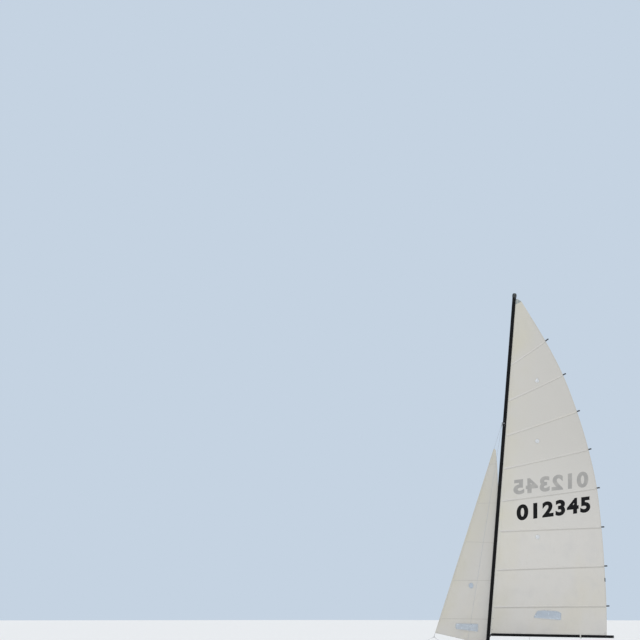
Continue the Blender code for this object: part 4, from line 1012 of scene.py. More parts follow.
# the tang's collar on the nose of the mast
tang_radius, tang_aft = CHORD + 0.009, 0.5 * CHORD
last_turn = math.acos(-tang_aft / tang_radius)
outer = [(-tang_radius * math.cos(t), tang_radius * math.sin(t)) for t in np.linspace(-last_turn, last_turn, 41)]
inner = [(x, y) for x, y in mast_section(1.02)[:35] if x < tang_aft]
Shape().plate([outer + inner[::-1] + [(x, -y) for x, y in inner[1:]]], HOUNDS - 0.018, HOUNDS + 0.018, MAST,
              0.002).finish("mast_tang_collar", cast_black, "mast", ["mast_tang"])

shape = Shape()
for side in (1, -1):
    for x, z, radius in ((0.000, HOUNDS, 0.007), (-0.020, HOUNDS - 0.008, 0.004), (-0.020, HOUNDS + 0.008, 0.004)):
        y = side * math.sqrt(tang_radius ** 2 - x ** 2)
        shape.bolts([(x, y, z)], (x * 0.4, side * 0.05, 0), radius, place=MAST)
shape.side_rivets([(0.004, z) for z in (0.012, 0.036)], WIDTH * 1.06, 0.004, MAST)
shape.side_rivets([(0.004, z) for z in (0.075, 0.42, 0.50, 5.10, 5.23, 7.90, 7.955)], WIDTH * 0.995, 0.0032, MAST)
shape.finish("mast_bolts_and_rivets", steel, "mast")

# gooseneck on the back of the mast, and the boom's fitting that turns on it
shelf_top = HINGE_UP - 0.020 - GAP
shape = Shape().block((CHORD + GAP, -0.014, shelf_top - 0.012), (0.066, 0.014, shelf_top), MAST, 0.003)
shape.block((CHORD - 0.004, -0.0155, shelf_top - 0.034), (CHORD + 0.0045, 0.0155, shelf_top - 0.004), MAST, 0.002)
shape.lathe([(0.007, shelf_top - 0.022), (0.008, shelf_top - 0.020), (0.008, shelf_top - 0.012)],
            MAST @ Matrix.Translation((HINGE_AFT, 0, 0)), 20)
shape.finish("gooseneck_casting", cast_black, "mast", ["gooseneck"])
shape = Shape().lathe(drum(0.010, -0.020, 0.020, 0.0012), BOOM, 24)
shape.plate([corner_cut(box_outline((0.0, -0.0133), (0.0187, 0.0133)), 0.004)], -0.007, 0.007, ALONG @ SIDE_VIEW, 0.001)
shape.finish("boom_hinge_fitting", cast_black, "boom", ["boom_fitting"])

BOOM_SHARES = ((0.00, -1.00), (0.30, -0.995), (0.50, -0.98), (0.80, -0.88), (0.96, -0.70), (1.00, -0.40),
               (1.00, 0.40), (0.94, 0.72), (0.74, 0.92), (0.44, 1.00))
BOOM_GROOVE = [(0.0021, 0.030), (0.0021, 0.025), (0.006, 0.0234), (0.006, 0.0186), (0.0, 0.0174)]
BOOM_START, BOOM_END = 0.019, 2.749
half = [(x * 0.020, y * 0.030) for x, y in rounded(BOOM_SHARES, 26)] + BOOM_GROOVE
boom_section = half + [(-x, y) for x, y in reversed(half[1:-1])]
Shape().loft([[(x, y, z) for y, z in boom_section] for x in (BOOM_START, *np.linspace(0.1, BOOM_END, 16))],
             ALONG).finish("boom_extrusion", boom_look, "boom", ["boom"])
low = BOOM_END + GAP
shape = Shape().block((low, -0.020, -0.030), (BOOM_END + 0.030, 0.020, 0.030), ALONG, 0.006, 4)
shape.block((low + 0.004, -0.0208, -0.022), (low + 0.010, 0.0208, 0.022), ALONG, 0.001)
shape.block((BOOM_START, -0.0207, -0.0307), (BOOM_START + 0.045, 0.0207, -0.024), ALONG, 0.002)
shape.lathe([(0.008, -0.0205), (0.011, -0.019), (0.009, -0.008), (0.009, 0.008), (0.011, 0.019), (0.008, 0.0205)],
            ALONG @ basis((BOOM_END + 0.016, 0, 0.020), (0, 1, 0)), 20)
shape.finish("boom_end_casting", cast_black, "boom", ["boom_end_cap"])

# the hanger for the sheet: a webbing strap round the boom with a steel eye under it
HANGER_X = 2.04
loop = corner_cut([(-0.0215, -0.0330), (0.0215, -0.0330), (0.0215, 0.0300), (0.0075, 0.0325), (-0.0075, 0.0325),
                   (-0.0215, 0.0300)], 0.008)
inside = [(y * 0.93, z * 0.955) for y, z in loop]
Shape().loft([[(HANGER_X + dx, y, z) for y, z in outline] for dx, outline in (
    (-0.0125, inside), (-0.0125, loop), (0.0125, loop), (0.0125, inside))], ALONG, True).finish(
    "boom_hanger_strap", white_web, "boom")
shape = Shape().pipe([(HANGER_X + 0.011 * x, 0, -0.046 + 0.013 * z) for x, z in ring(1)], 0.0028, 10, True, ALONG)
shape.side_rivets([(x, 0.004) for x in (0.034, 0.055, 0.30, 1.20, 2.60, 2.72)], 0.0198, 0.0032, ALONG)
shape.side_rivets([(BOOM_END + x, -0.012) for x in (0.010, 0.022)], 0.0199, 0.003, ALONG)
for z in (-0.0205, 0.0205):
    shape.lathe([(0.0065, z), (0.0065, z * 1.10), (0.004, z * 1.16)], BOOM, 16)
shape.finish("boom_rivets_and_eye", steel, "boom")

# the bolt rope in the mast's groove, which carries the sail's luff
heights = np.linspace(0.53, 7.93, 24)
shape = Shape().loft(spar(ring(0.0026, 14, (0.0324, 0)), heights), MAST)
shape.loft(spar(box_outline((0.0330, -0.0006), (0.0463, 0.0006)), heights), MAST)
shape.finish("mast_groove_bolt_rope", main_tape, "mast")

# ---------------------------------------------------------------- hulls

OUTER_SIDE = ((0.395, 0.0), (0.34, 0.0), (0.20, 0.05), (0.10, 0.17), (0.04, 0.38), (0.01, 0.68), (0.0, 1.0))
INNER_SIDE = ((1.0, 1.0), (0.99, 0.72), (0.96, 0.50), (0.86, 0.29), (0.70, 0.13), (0.53, 0.025), (0.45, 0.0))
BEAD = ((0.004, 0.0012), (0.0095, 0.003), (0.0118, 0.006), (0.012, 0.010), (0.0112, 0.0135), (0.009, 0.0155),
        (0.005, 0.0160), (-0.004, 0.0157))
outer_shares = rounded(OUTER_SIDE, 24)
inner_shares = rounded(INNER_SIDE + OUTER_SIDE[:1], 24)[:-1]
# distance from each end, width as a share and lift of the keel, where the ends are rounded off
BOW_ENDS = ((0, 0.35, 0.020), (0.0015, 0.62, 0.010), (0.005, 0.85, 0.004), (0.011, 0.97, 0.0))
STERN_ENDS = ((0.004, 0.995, 0.0), (0.001, 0.97, 0.003), (0, 0.94, 0.006))


def hull_section(x, side, narrow=1.0, lift=0.0):
    """A ring of the hull with the bead that joins deck and shell."""
    keel, deck, width, inset = station(x)
    wide = width * narrow
    outer_y = OUTER_Y - inset - (width - wide) / 2
    keel, low = keel + lift, deck - 0.016
    out = [(outer_y - a * wide, keel + b * (low - keel)) for a, b in outer_shares]
    out += [(outer_y + dx * narrow, low + dz) for dx, dz in BEAD]
    out += [(outer_y - wide - dx * narrow, low + dz) for dx, dz in reversed(BEAD)]
    out += [(outer_y - a * wide, keel + b * (low - keel)) for a, b in inner_shares]
    return [(x, side * y, z) for y, z in out]


for label, side in SIDES:
    rings = [hull_section(BOW_X - dx, side, *more) for dx, *more in BOW_ENDS]
    rings += [hull_section(BOW_X - share * HULL_LENGTH, side)
              for share in (*np.linspace(0.004, 0.10, 14), *np.linspace(0.11, 0.998, 66))]
    rings += [hull_section(STERN_X + dx, side, *more) for dx, *more in STERN_ENDS]
    Shape().loft(rings).finish("hull_shell_" + label, gelcoat, replaces=["hull_" + label])

    # non-slip panels on the deck: between the pylons, aft of them and ahead of them
    shape = Shape()
    for front, rear in ((0.80, -1.05), (-1.34, -1.95), (2.10, 1.10)):
        rings = []
        for x in np.linspace(front, rear, 20):
            keel, deck, width, inset = station(x)
            near, far = OUTER_Y - inset - 0.022, OUTER_Y - inset - width + 0.022
            low, high = deck_height(x) - 0.002, deck_height(x) + 0.0010
            rings.append([(x, side * near, low), (x, side * near, high), (x, side * far, high), (x, side * far, low)])
        shape.loft(rings)
    shape.finish("deck_tread_" + label, tread_look)

    # round hatch on the deck and drain plug in the transom
    hatch_x = 1.62
    place = Matrix.Translation((hatch_x, side * deck_middle(hatch_x), deck_height(hatch_x) + 0.0005))
    profile = [(0.070, -0.004), (0.070, 0.0025), (0.067, 0.0045), (0.061, 0.0048), (0.059, 0.0020), (0.056, 0.0020),
               (0.054, 0.0052), (0.030, 0.0060), (0.012, 0.0062), (0.0, 0.0062)]
    shape = Shape().lathe(profile, place, 48)
    for turn in range(3):
        spin = place @ Matrix.Rotation(turn * math.pi / 3, 4, "Z")
        shape.block((-0.045, -0.003, 0.0050), (0.045, 0.003, 0.0090), spin, 0.0015, 2)
    shape.lathe([(0.017, -0.001), (0.017, 0.003), (0.014, 0.005), (0.011, 0.005), (0.011, 0.010), (0.008, 0.012)],
                basis((STERN_X, side * deck_middle(STERN_X), 0.162), (-1, 0, 0)), 24)
    shape.finish("hatch_and_plug_" + label, rubber)

# ---------------------------------------------------------------- frame

keep(bar_look, "crossbar_front", "crossbar_rear")
keep(rail_look, "rail_port", "rail_starboard")

for end, x, along in (("front", FRONT_X, -1), ("rear", REAR_X, 1)):
    for label, side in SIDES:
        y, rings = side * RAIL_Y, []
        for t in np.linspace(0, 1, 15):
            flare = 1 + 0.26 * math.exp(-t * 16) + 0.10 * math.exp(-(1 - t) * 9)
            long, wide = 0.085 * ((1 - t) + 0.62 * t) * flare, 0.033 * (1 - 0.10 * t) * flare
            row = []
            for a, b in ring(1, 40):
                px = x + long * math.copysign(abs(a) ** 0.9, a)
                base = deck_height(px) + GAP
                row.append((px, y + wide * b, base + t * (BAR_Z - 0.030 - base)))
            rings.append(row)
        shape = Shape().loft(rings)
        shape.block((-0.065, -0.039, -0.050), (0.065, 0.039, 0.050), Matrix.Translation((x, y, BAR_Z)), 0.014, 5)
        for radius, long, place, sides in (
            (BAR_RADIUS, 0.050, basis((x, y - side * 0.033, BAR_Z), (0, -side, 0)), 32),
            (RAIL_RADIUS, 0.044, basis((x + along * 0.058, y, BAR_Z), (along, 0, 0)), 28),
        ):
            shape.lathe(drum(radius + 0.0045, 0, long, 0.002), place, sides)
        shape.lathe([(0.029, 0.0), (0.029, 0.004), (0.024, 0.007), (0.0, 0.008)],
                    basis((x, y + side * 0.0385, BAR_Z), (0, side, 0)), 28)
        shape.finish("corner_casting_%s_%s" % (end, label), cast_black, replaces=["pylon_%s_%s" % (end, label)],
                     slot="casting")
        shape = Shape()
        for dx in (-0.040, 0.040):
            shape.bolts([(x + dx, y + side * 0.0388, BAR_Z - 0.028)], (0, side, 0), 0.0055)
            shape.bolts([(x + dx, y, BAR_Z + 0.0495)], (0, 0, 1), 0.0055)
        shape.bolts([(x, y - side * 0.066, BAR_Z + RAIL_RADIUS + 0.015)], (0, 0, 1), 0.004)
        shape.finish("corner_bolts_%s_%s" % (end, label), steel)

# trampoline: one sheet of open weave with hems on its edges and along the middle, where a lacing crosses
HALF_CLOTH = 0.0014
SIDE_Y, REAR_EDGE, FRONT_EDGE = RAIL_Y - RAIL_RADIUS - 0.002, REAR_X + 0.034, FRONT_X - 0.034
REAR_NOTCH, FRONT_NOTCH, NOTCH_Y = REAR_X + 0.067, FRONT_X - 0.067, 1.018
LACE_Y = 0.052


def sag(x, y):
    """The cloth dips a little under its own stretch."""
    u = (x - REAR_EDGE) / (FRONT_EDGE - REAR_EDGE)
    v = y / SIDE_Y
    dip = 0.010 * max(0.0, 4 * u * (1 - u)) * max(0.0, 1 - v * v)
    return -dip + 0.0012 * math.sin(9 * x) * math.sin(7 * y)


def arch(x, y):
    """A hiking strap arches a little above the cloth."""
    return 0.010 * math.sin(math.pi * (x - REAR_EDGE) / (FRONT_EDGE - REAR_EDGE)) ** 2 + 0.0022


def band(shape, start, end, width, low, high, count=40, height=sag):
    """A strip on the trampoline from one (x, y) point to another."""
    way = (Vector(end) - Vector(start)).normalized()
    across = Vector((-way.y, way.x))
    rings, measures = [], []
    for here in (Vector(start).lerp(Vector(end), t) for t in np.linspace(0, 1, count)):
        run, row = (here - Vector(start)).length, []
        for a, z, edge in tape(width, high, low):
            place = here + across * a
            row.append((place.x, place.y, BAR_Z + height(place.x, place.y) + z))
        rings.append(row)
        measures.append([(run, edge, 0) for a, z, edge in tape(width, high, low)])
    shape.loft(rings, measures=measures)


outline = [(REAR_EDGE, NOTCH_Y), (REAR_NOTCH, NOTCH_Y), (REAR_NOTCH, SIDE_Y), (FRONT_NOTCH, SIDE_Y),
           (FRONT_NOTCH, NOTCH_Y), (FRONT_EDGE, NOTCH_Y)]
mirrored = [(x, -y) for x, y in outline[::-1]]
flat = cells_of(filled([mirrored[-1:] + outline + mirrored[:-1]]), 0.07)
tops, lows = ([(v.co.x, v.co.y, BAR_Z + sag(v.co.x, v.co.y) + half) for v in flat.verts]
              for half in (HALF_CLOTH, -HALF_CLOTH))
trampoline = Shape().shell(flat, tops, lows).finish("trampoline_cloth", mesh_look, replaces=["trampoline"])

shape = Shape()
for y in (SIDE_Y - 0.020, 0.020 - SIDE_Y):
    band(shape, (REAR_NOTCH, y), (FRONT_NOTCH, y), 0.038, -0.0026, 0.0026)
for y in (LACE_Y, -LACE_Y):
    band(shape, (REAR_EDGE + 0.004, y), (FRONT_EDGE - 0.004, y), 0.050, -0.0022, 0.0022)
for x in (REAR_EDGE + 0.022, FRONT_EDGE - 0.022):
    band(shape, (x, -NOTCH_Y + 0.004), (x, NOTCH_Y - 0.004), 0.038, -0.0028, 0.0028)
hems = shape.finish("trampoline_hems", hem_look)

LACES, LACE_RADIUS = 17, 0.0022
shape, metal = Shape(), Shape()
for index in range(LACES):
    x = REAR_EDGE + 0.10 + index * (FRONT_EDGE - REAR_EDGE - 0.20) / (LACES - 1)
    for y in (LACE_Y, -LACE_Y):
        metal.lathe([(0.0085, -0.0036), (0.0085, 0.0036), (0.0075, 0.0044), (0.0052, 0.0040), (0.0045, 0.0030)],
                    Matrix.Translation((x, y, BAR_Z + sag(x, y))), 18)
    z = BAR_Z + sag(x, 0.05) + 0.0062
    next_x = x + (0.114 if index < LACES - 1 else 0.0)
    shape.pipe([(x, -LACE_Y, z), ((x + next_x) / 2, 0, z + 0.001), (next_x, LACE_Y, z)], LACE_RADIUS, 8)
    shape.pipe([(x, LACE_Y, z - 0.0004), (x, 0.0, z + 0.0034), (x, -LACE_Y, z - 0.0004)], LACE_RADIUS, 8)
lacing = shape.finish("trampoline_lacing", line_look, slot="trampoline_cloth")
eyelets = metal.finish("trampoline_eyelets", steel)

# hiking straps lie along the trampoline with a low arch, and loop round the bars
for label, side in SIDES:
    y, shape = side * 0.17, Shape()
    band(shape, (REAR_EDGE, y), (FRONT_EDGE, y), 0.050, 0.0008, 0.0034, 60, arch)
    shape.finish("foot_strap_" + label, strap_look, replaces=["hiking_strap_" + label])
    shape = Shape()
    for x in (FRONT_X, REAR_X):
        shape.loft([[(px, y + dy, pz) for px, pz in ring(radius, 40, (x, BAR_Z))] for radius, dy in (
            (0.0323, -0.025), (0.0350, -0.025), (0.0350, 0.025), (0.0323, 0.025))], loop=True)
    shape.finish("foot_strap_loops_" + label, strap_look)

# dolphin striker with its nuts, and the post under the mast
STRIKER_DROP = 0.112
keep(steel, "dolphin_striker")
striker_end = BAR_FOOT - 0.006 - GAP
post_low = striker_end - STRIKER_DROP + 0.006 + 0.013 * STRIKER_DROP / BAR_HALF + GAP
Shape().lathe([(0.010, post_low), (0.013, post_low + 0.002), (0.013, post_low + 0.016), (0.0095, post_low + 0.020),
               (0.0095, BAR_FOOT - 0.018), (0.013, BAR_FOOT - 0.012), (0.013, BAR_FOOT - GAP)],
              Matrix.Translation((FRONT_X, 0, 0)), 24).finish("striker_post", cast_black, replaces=["dolphin_post"])
shape = Shape()
for side in (1, -1):
    for share in (0.93, 0.955):
        start = (FRONT_X, side * BAR_HALF * share, striker_end - STRIKER_DROP * (1 - share))
        shape.lathe([(0.0085, 0), (0.0100, 0.001), (0.0100, 0.009), (0.0085, 0.010)],
                    basis(start, (0, side * BAR_HALF, STRIKER_DROP)), 6)
shape.finish("striker_nuts", steel)

# mast step: a saddle on the front bar and the pad that the mast turns on
shape = Shape().lathe([(0.0460, BAR_TOP + GAP), (0.0460, BAR_TOP + 0.006), (0.041, BAR_TOP + 0.010),
                       (0.036, BAR_TOP + 0.018)], Matrix.Translation((FRONT_X, 0, 0)), 36)
shape.lathe([(0.034, -0.012), (0.034, -0.0040), (0.031, -0.0010), (0.020, -0.0003)], MAST, 32)
shape.finish("mast_step_casting", cast_black, replaces=["mast_step"])
Shape().bolts([(FRONT_X + dx, dy, BAR_TOP + 0.0062) for dx in (-0.034, 0.034) for dy in (-0.018, 0.018)], (0, 0, 1),
              0.0035, 0.003).finish("mast_step_bolts", steel)

# traveller: a track with a slot, and a car on wheels
TRACK_LOW, CAR = BAR_TOP + GAP, Matrix.Translation((REAR_X, 0, 0))
section = [(-0.015, 0.0), (0.015, 0.0), (0.015, 0.0035), (0.0095, 0.0045), (0.0095, 0.0065), (0.0150, 0.0075),
           (0.0150, 0.0120), (0.0040, 0.0120), (0.0040, 0.0060), (-0.0040, 0.0060), (-0.0040, 0.0120),
           (-0.0150, 0.0120), (-0.0150, 0.0075), (-0.0095, 0.0065), (-0.0095, 0.0045), (-0.015, 0.0035)]
Shape().loft([[(REAR_X + x, y, TRACK_LOW + z) for x, z in section]
              for y in np.linspace(0.060 - BAR_HALF, BAR_HALF - 0.060, 12)]).finish(
    "traveller_rail", track_look, replaces=["traveller_track"])
car_low, wheels = TRACK_LOW + 0.012 + GAP, (-0.030, 0.0, 0.030)
shape = Shape().block((-0.022, -0.055, car_low), (0.022, 0.055, car_low + 0.010), CAR, 0.004, 3)
for dx in (-0.019, 0.019):
    shape.block((dx - 0.002, -0.045, car_low + 0.006), (dx + 0.002, 0.045, car_low + 0.026), CAR, 0.0015, 2)
for dy in wheels:
    shape.lathe([(0.009, -0.016), (0.0105, -0.014), (0.0075, -0.003), (0.0075, 0.003), (0.0105, 0.014), (0.009, 0.016)],
                basis((REAR_X, dy, car_low + 0.0150), (1, 0, 0)), 24)
shape.finish("traveller_carriage", cast_black, replaces=["traveller_car"])
shape = Shape()
for side in (1, -1):
    shape.rivets([(REAR_X + side * 0.021, dy, car_low + 0.015) for dy in wheels], (side, 0, 0))
shape.rivets([(REAR_X, dy, TRACK_LOW + 0.0062) for dy in (-0.9, -0.6, -0.3, 0.3, 0.6, 0.9)], (0, 0, 1), 0.0032)
shape.finish("traveller_rivets", steel)

# ---------------------------------------------------------------- stays and their fittings

keep(wire_look, "shroud_port", "shroud_starboard", "bridle_port", "bridle_starboard", "forestay")


def upright(place):
    """A frame at a place with its Y up, for plates that stand along the boat."""
    return Matrix.Translation(place) @ SIDE_VIEW


def wire_ends(shape, start, end, start_gap, end_gap, length):
    """Swaged ends on both ends of a wire, with their eyes outward."""
    way = (end - start).normalized()
    for place in (basis(start + way * start_gap, way), basis(end - way * end_gap, -way)):
        shape.lathe([(0.0030, 0.006), (0.0042, 0.010), (0.0042, length - 0.012), (0.0032, length)], place, 16)
        shape.plate([corner_cut(box_outline((-0.0060, -0.010), (0.0060, 0.012)), 0.005)], -0.0022, 0.0022,
                    place @ SIDE_VIEW, 0.0006)


at_shackle = Matrix.Translation(shackle)
bow_turns = np.linspace(-0.45 * math.pi, 1.45 * math.pi, 25)
shape = Shape().pipe([(0.0105 * math.cos(t), 0, 0.0150 * math.sin(t)) for t in bow_turns], 0.0032, place=at_shackle)
shape.lathe(drum(0.0032, -0.014, 0.014, 0.0006), at_shackle @ basis((0, 0, -0.0125), (1, 0, 0)), 14)
shape.pipe([(0, 0.0110 * y, -0.003 + 0.0125 * z) for y, z in ring(1)], 0.0028, 10, True, at_shackle)
shape.finish("hounds_shackle", steel, replaces=["stay_shackle"])
Shape().pipe([(x, y, 0) for x, y in ring(0.0145, 30)], 0.0034, 12, True, basis(bridle_ring, (1, 0, 0.45))).finish(
    "bridle_link", steel, replaces=["bridle_ring"])

HOLE_GAP = 0.016  # from a ring's middle to the wire's end
PLATE_TOP = 0.0603
terminals = Shape()
wire_ends(terminals, shackle, bridle_ring, HOLE_GAP, HOLE_GAP, 0.070)
for label, side in SIDES:
    # the shrouds' adjusters, each of two plates with rows of holes
    x, y = FRONT_X - 0.350, side * (OUTER_Y - 0.028)
    low = max(deck_height(x - 0.017), deck_height(x + 0.017)) + GAP
    outline = corner_cut([(-0.017, 0.0), (0.017, 0.0), (0.0135, 0.060), (-0.0135, 0.060)], 0.005)
    holes = [ring(0.0030, 14, (dx, z)) for z in (0.018, 0.029, 0.040, 0.051) for dx in (-0.006, 0.006)]
    foot, shape = Vector((x, y, low)), Shape()
    for out in (-0.003, 0.0010):
        shape.plate([outline] + holes, out, out + 0.0020, upright(foot), 0.0004)
    shape.block((-0.017, -0.003, 0.0), (0.017, 0.003, 0.010), Matrix.Translation(foot), 0.001, 2)
    shape.lathe([(0.0028, -0.0045), (0.0028, 0.0045)], basis(foot + Vector((-0.006, 0, 0.051)), (0, 1, 0)), 12)
    shape.block((-0.0045, -0.0008, 0.040), (0.0045, 0.0008, 0.060), Matrix.Translation(foot), 0.0006, 1)
    shape.finish("shroud_adjuster_" + label, steel, replaces=["chainplate_" + label])
    wire_ends(terminals, foot + Vector((0, 0, PLATE_TOP)), shackle, 0, HOLE_GAP, 0.085)

    # the bow plates of the bridle
    x = BOW_X - 0.200
    y = side * deck_middle(x)
    foot = Vector((x, y, max(deck_height(x - 0.017), deck_height(x + 0.017)) + GAP))
    outline = corner_cut([(-0.017, 0.0), (0.017, 0.0), (0.010, 0.060), (-0.010, 0.060)], 0.007)
    shape = Shape().plate([outline, ring(0.0038, 16, (0, 0.050))], -0.0025, 0.0025, upright(foot), 0.0006)
    shape.block((-0.030, -0.012, -0.001), (0.030, 0.012, 0.0025), Matrix.Translation(foot), 0.001, 2)
    shape.rivets([foot + Vector((dx, 0, 0.0025)) for dx in (-0.023, 0.023)], (0, 0, 1))
    shape.finish("bow_plate_" + label, steel, replaces=["bow_tang_" + label])
    wire_ends(terminals, foot + Vector((0, 0, PLATE_TOP)), bridle_ring, 0, HOLE_GAP, 0.065)
terminals.finish("stay_terminals", steel, slot="wire")

# ---------------------------------------------------------------- rudders and tillers

AXIS_X, RUDDER_Y = STERN_X - 0.060, 1.082
LOW, HIGH = 0.19998, 0.39996
HEAD_FRONT, HEAD_LOW, HEAD_TOP, HEAD_LONG = -0.034, LOW - 0.030, 0.52008, 0.131
PIVOT_X, PIVOT_Z = -0.112, LOW + 0.045
BLADE_LONG, BLADE_HALF = 0.640, 0.011
ARM_LOW, ARM_SIZE, ARM_END = HEAD_TOP + GAP, 0.034, 0.556
HEAD_SHARES = ((0.00, 0.00), (0.45, 0.00), (0.92, 0.06), (1.00, 0.16), (1.00, 0.40), (0.90, 0.56), (0.78, 0.72),
               (0.78, 1.00), (0.00, 1.00))
BLADE_SHARES = (
    (-0.070, -0.035), (-0.080, 0.000), (-0.070, 0.035), (-0.035, 0.070), (0.000, 0.080), (0.060, 0.084),
    (0.180, 0.150), (0.300, 0.185), (0.550, 0.180), (0.800, 0.150), (0.930, 0.110), (0.985, 0.060),
    (1.000, 0.000), (0.980, -0.055), (0.900, -0.095), (0.700, -0.120), (0.400, -0.125), (0.220, -0.108),
    (0.100, -0.082), (0.000, -0.080), (-0.035, -0.070),
)
# how far the blade's outline is drawn in, and the share of its thickness there
BLADE_LAYERS = ((0.0, 0.02), (0.0012, 0.30), (0.004, 0.55), (0.010, 0.78), (0.020, 0.93), (0.034, 1.0))
RAISED = Matrix.Rotation(math.radians(12.0), 4, "Y")


def on_head(points):
    """Outline points from the head's front edge, aft and up: z over HEAD_LOW, or below HEAD_TOP where negative."""
    return [(HEAD_FRONT - aft, z + (HEAD_LOW if z > 0 else HEAD_TOP)) for aft, z in points]


def drawn_in(point, inset):
    """A point of the blade's outline moved towards its middle line."""
    to_axis = np.array([min(max(point[0], 0.0), 0.60), 0.01]) - point
    length = np.linalg.norm(to_axis)
    return point + to_axis / max(length, 1e-6) * min(inset, length * 0.9)


blade_loop = rounded(BLADE_SHARES + BLADE_SHARES[:1], 121)[:-1] * BLADE_LONG
for label, side in SIDES:
    y, face = side * RUDDER_Y, STERN_X - GAP
    stern = {"body": "rudder_" + label}
    shape = Shape().block((face - 0.006, y - 0.018, LOW - 0.014), (face, y + 0.018, HIGH + 0.014), HERE, 0.0015, 2)
    lug = corner_cut([(AXIS_X - 0.014, -0.014), (AXIS_X + 0.020, -0.014), (face - 0.003, -0.016),
                      (face - 0.003, 0.016), (AXIS_X + 0.020, 0.014), (AXIS_X - 0.014, 0.014)], 0.010)
    for middle in (LOW, HIGH):
        shape.plate([lug], middle - 0.007, middle + 0.007, Matrix.Translation((0, y, 0)), 0.0012)
    shape.bolts([(face - 0.006, y, z) for z in (LOW + 0.035, LOW + 0.10, HIGH - 0.035)], (-1, 0, 0), 0.0050)
    shape.finish("gudgeon_bracket_" + label, steel, replaces=["gudgeon_" + label])

    # the head: two ribbed cheeks and a spine, cast in one, with the barrel for the pintle
    turn = Matrix.Translation((AXIS_X, y, 0))
    cheek_view = turn @ SIDE_VIEW
    outline = corner_cut([(HEAD_FRONT - a * HEAD_LONG, HEAD_LOW + b * (HEAD_TOP - HEAD_LOW)) for a, b in HEAD_SHARES],
                         0.012, 4)
    rib = corner_cut(on_head([(0.016, 0.020), (0.095, 0.030), (0.088, -0.020), (0.016, -0.020)]), 0.014)
    hole = corner_cut(on_head([(0.026, 0.135), (0.084, 0.150), (0.078, -0.030), (0.026, -0.030)]), 0.012)
    shape = Shape()
    for low, rib_low in ((0.0113, 0.0250), (-0.0250, -0.0265)):
        shape.plate([outline], low, low + 0.0137, cheek_view, 0.003, 2)
        shape.plate([rib, hole], rib_low, rib_low + 0.0015, cheek_view, 0.0005)
    spine = [(HEAD_FRONT, 0.3501), (HEAD_FRONT, HEAD_TOP - 0.001), (HEAD_FRONT - 0.100, HEAD_TOP - 0.001),
             (HEAD_FRONT - 0.100, 0.3501)]
    shape.plate([spine], -0.0120, 0.0120, cheek_view, 0.001)
    shape.block((-0.049, -0.0120, HEAD_LOW + 0.004), (HEAD_FRONT - 0.0005, 0.0120, 0.352), turn, 0.001, 1)
    shape.block((HEAD_FRONT - 0.006, -0.007, LOW + 0.0125), (0, 0.007, HIGH - 0.0175), turn, 0.002, 2)
    shape.lathe([(0.0125, LOW + 0.0073), (0.014, LOW + 0.009), (0.014, HIGH - 0.0140), (0.0125, HIGH - 0.0120)], turn,
                28)
    shape.finish("rudder_casting_" + label, cast_black, replaces=["rudder_head_" + label], slot="casting", **stern)
    shape = Shape()
    for cheek in (1, -1):
        shape.bolts([(PIVOT_X, cheek * 0.0250, PIVOT_Z)], (0, cheek, 0), 0.008, 0.006, turn)
    shape.side_rivets([(-0.055, 0.50), (-0.110, 0.50), (-0.055, 0.385), (-0.115, 0.40)], 0.0264, 0.0045, turn)
    shape.lathe([(0.0050, LOW - 0.014), (0.0050, HIGH + 0.008), (0.0085, HIGH + 0.0083), (0.0085, HIGH + 0.0115),
                 (0.006, HIGH + 0.013)], turn, 18)
    shape.finish("rudder_pins_" + label, steel, **stern)

    # the blade: a foil that thins towards its edges
    half = [[(drawn_in(point, inset), share * BLADE_HALF) for point in blade_loop] for inset, share in BLADE_LAYERS]
    rings = [[(-at[0], at[1], facing * z) for at, z in layer]
             for facing, layers in ((-1, half[::-1]), (1, half)) for layer in layers]
    kick = turn @ Matrix.Translation((PIVOT_X, 0, PIVOT_Z)) @ RAISED
    Shape().loft(rings, kick @ SIDE_VIEW).finish("rudder_foil_" + label, foil_look, "blade_" + label,
                                                 ["rudder_blade_" + label])

    # tiller arm with its end plugs and clamp bolts
    shape = Shape().block((HEAD_FRONT - 0.060, -ARM_SIZE / 2, ARM_LOW), (ARM_END, ARM_SIZE / 2, ARM_LOW + ARM_SIZE),
                          turn, 0.004)
    shape.finish("tiller_tube_" + label, arm_look, replaces=["tiller_arm_" + label], **stern)
    low, high = ARM_LOW + 0.0005, ARM_LOW + 0.0335
    shape = Shape().block((ARM_END + 0.0002, -0.0165, low), (ARM_END + 0.004, 0.0165, high), turn, 0.0015, 2)
    shape.block((HEAD_FRONT - 0.0625, -0.0165, low), (HEAD_FRONT - 0.0602, 0.0165, high), turn, 0.001, 1)
    shape.finish("tiller_plugs_" + label, rubber, **stern)
    shape = Shape().bolts([(dx, 0, ARM_LOW + ARM_SIZE + 0.0002) for dx in (-0.080, -0.050)], (0, 0, 1), 0.0050,
                          place=turn)
    shape.side_rivets([(0.45, ARM_LOW + ARM_SIZE / 2)], ARM_SIZE / 2, 0.004, turn)
    shape.finish("tiller_bolts_" + label, steel, **stern)

keep(tube_look("crossbar_tiller_aluminium", "aluminium", "Y", (188, 190, 193)), "tiller_crossbar")
keep(rubber, "tiller_extension")
bar_x, bar_z = AXIS_X + 0.543, ARM_LOW + ARM_SIZE + GAP + 0.015
shape = Shape()
for side in (1, -1):
    # a collar whose foot sits flat on the tiller arm, and the crossbar's end cap
    y = side * RUDDER_Y
    collar = ((0.0155, -0.030), (0.0185, -0.027), (0.0185, 0.027), (0.0155, 0.030))
    shape.loft([[(bar_x + a, y + along, bar_z + max(b, -0.01505)) for a, b in ring(radius, 40)]
                for radius, along in collar])
    shape.lathe([(0.0150, -0.004), (0.0162, -0.003), (0.0162, 0.002), (0.013, 0.0045), (0.0, 0.005)],
                basis((bar_x, y + side * 0.0495, bar_z), (0, side, 0)), 24)
joint = Matrix.Translation((bar_x, 0.05, bar_z))
shape.block((-0.014, -0.020, 0.0152), (0.014, 0.020, 0.019), joint, 0.0015, 2)
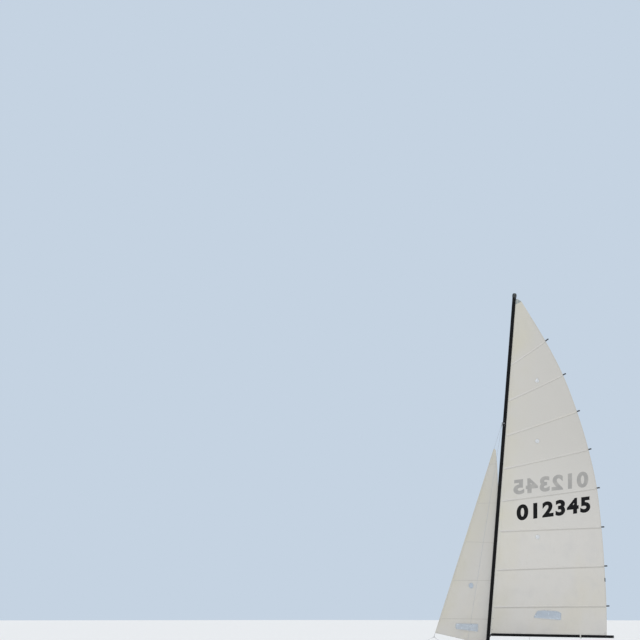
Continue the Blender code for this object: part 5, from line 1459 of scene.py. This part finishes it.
shape.lathe([(0.0085, 0.012), (0.0095, 0.0155), (0.0095, 0.0185), (0.006, 0.020)], joint, 20)
shape.finish("tiller_joints", cast_black, "tiller")

# ---------------------------------------------------------------- stage and light

FAR = 900.0
floor_look = Look("pale_floor", None, (224, 225, 226), 0.8).uneven((0.4,), 0.75, 0.85)
data = bpy.data.meshes.new("floor")
data.from_pydata([(x, y, -0.001) for x, y in box_outline((-FAR, -FAR), (FAR, FAR))], [], [(0, 1, 2, 3)])
data.materials.append(floor_look.material)
floor = linked(bpy.data.objects.new("floor", data))

# the camera, mirrors and clear film see the pale backdrop, and everything else is lit by a soft sky
scene.world = bpy.data.worlds.new("studio")
scene.world.use_nodes = True
tree = scene.world.node_tree
tree.nodes.clear()
backgrounds = []
for colour, strength in (((0.97, 0.985, 1.0, 1.0), 0.78), (rgb((197, 211, 226)), 1.0)):
    backgrounds.append(tree.nodes.new("ShaderNodeBackground"))
    backgrounds[-1].inputs["Color"].default_value = colour
    backgrounds[-1].inputs["Strength"].default_value = strength
rays = tree.nodes.new("ShaderNodeLightPath").outputs
seen = rays["Is Camera Ray"]
for kind in ("Is Glossy Ray", "Is Transmission Ray"):
    either = tree.nodes.new("ShaderNodeMath")
    either.operation = "MAXIMUM"
    tree.links.new(seen, either.inputs[0])
    tree.links.new(rays[kind], either.inputs[1])
    seen = either.outputs[0]
mix, out = tree.nodes.new("ShaderNodeMixShader"), tree.nodes.new("ShaderNodeOutputWorld")
for source, target in ((seen, mix.inputs[0]), (backgrounds[0].outputs[0], mix.inputs[1]),
                       (backgrounds[1].outputs[0], mix.inputs[2]), (mix.outputs[0], out.inputs[0])):
    tree.links.new(source, target)

for name, way, strength, spread, colour in (
    ("key", (0.55, -0.50, -0.70), 1.15, 25.0, (1.0, 0.99, 0.975)),
    ("fill", (-0.45, 0.30, -0.85), 0.40, 25.0, (0.96, 0.98, 1.0)),
):
    lamp = bpy.data.lights.new(name, "SUN")
    lamp.energy, lamp.angle, lamp.color = strength, math.radians(spread), colour
    linked(bpy.data.objects.new(name, lamp)).rotation_euler = Vector(way).to_track_quat("-Z", "Y").to_euler()
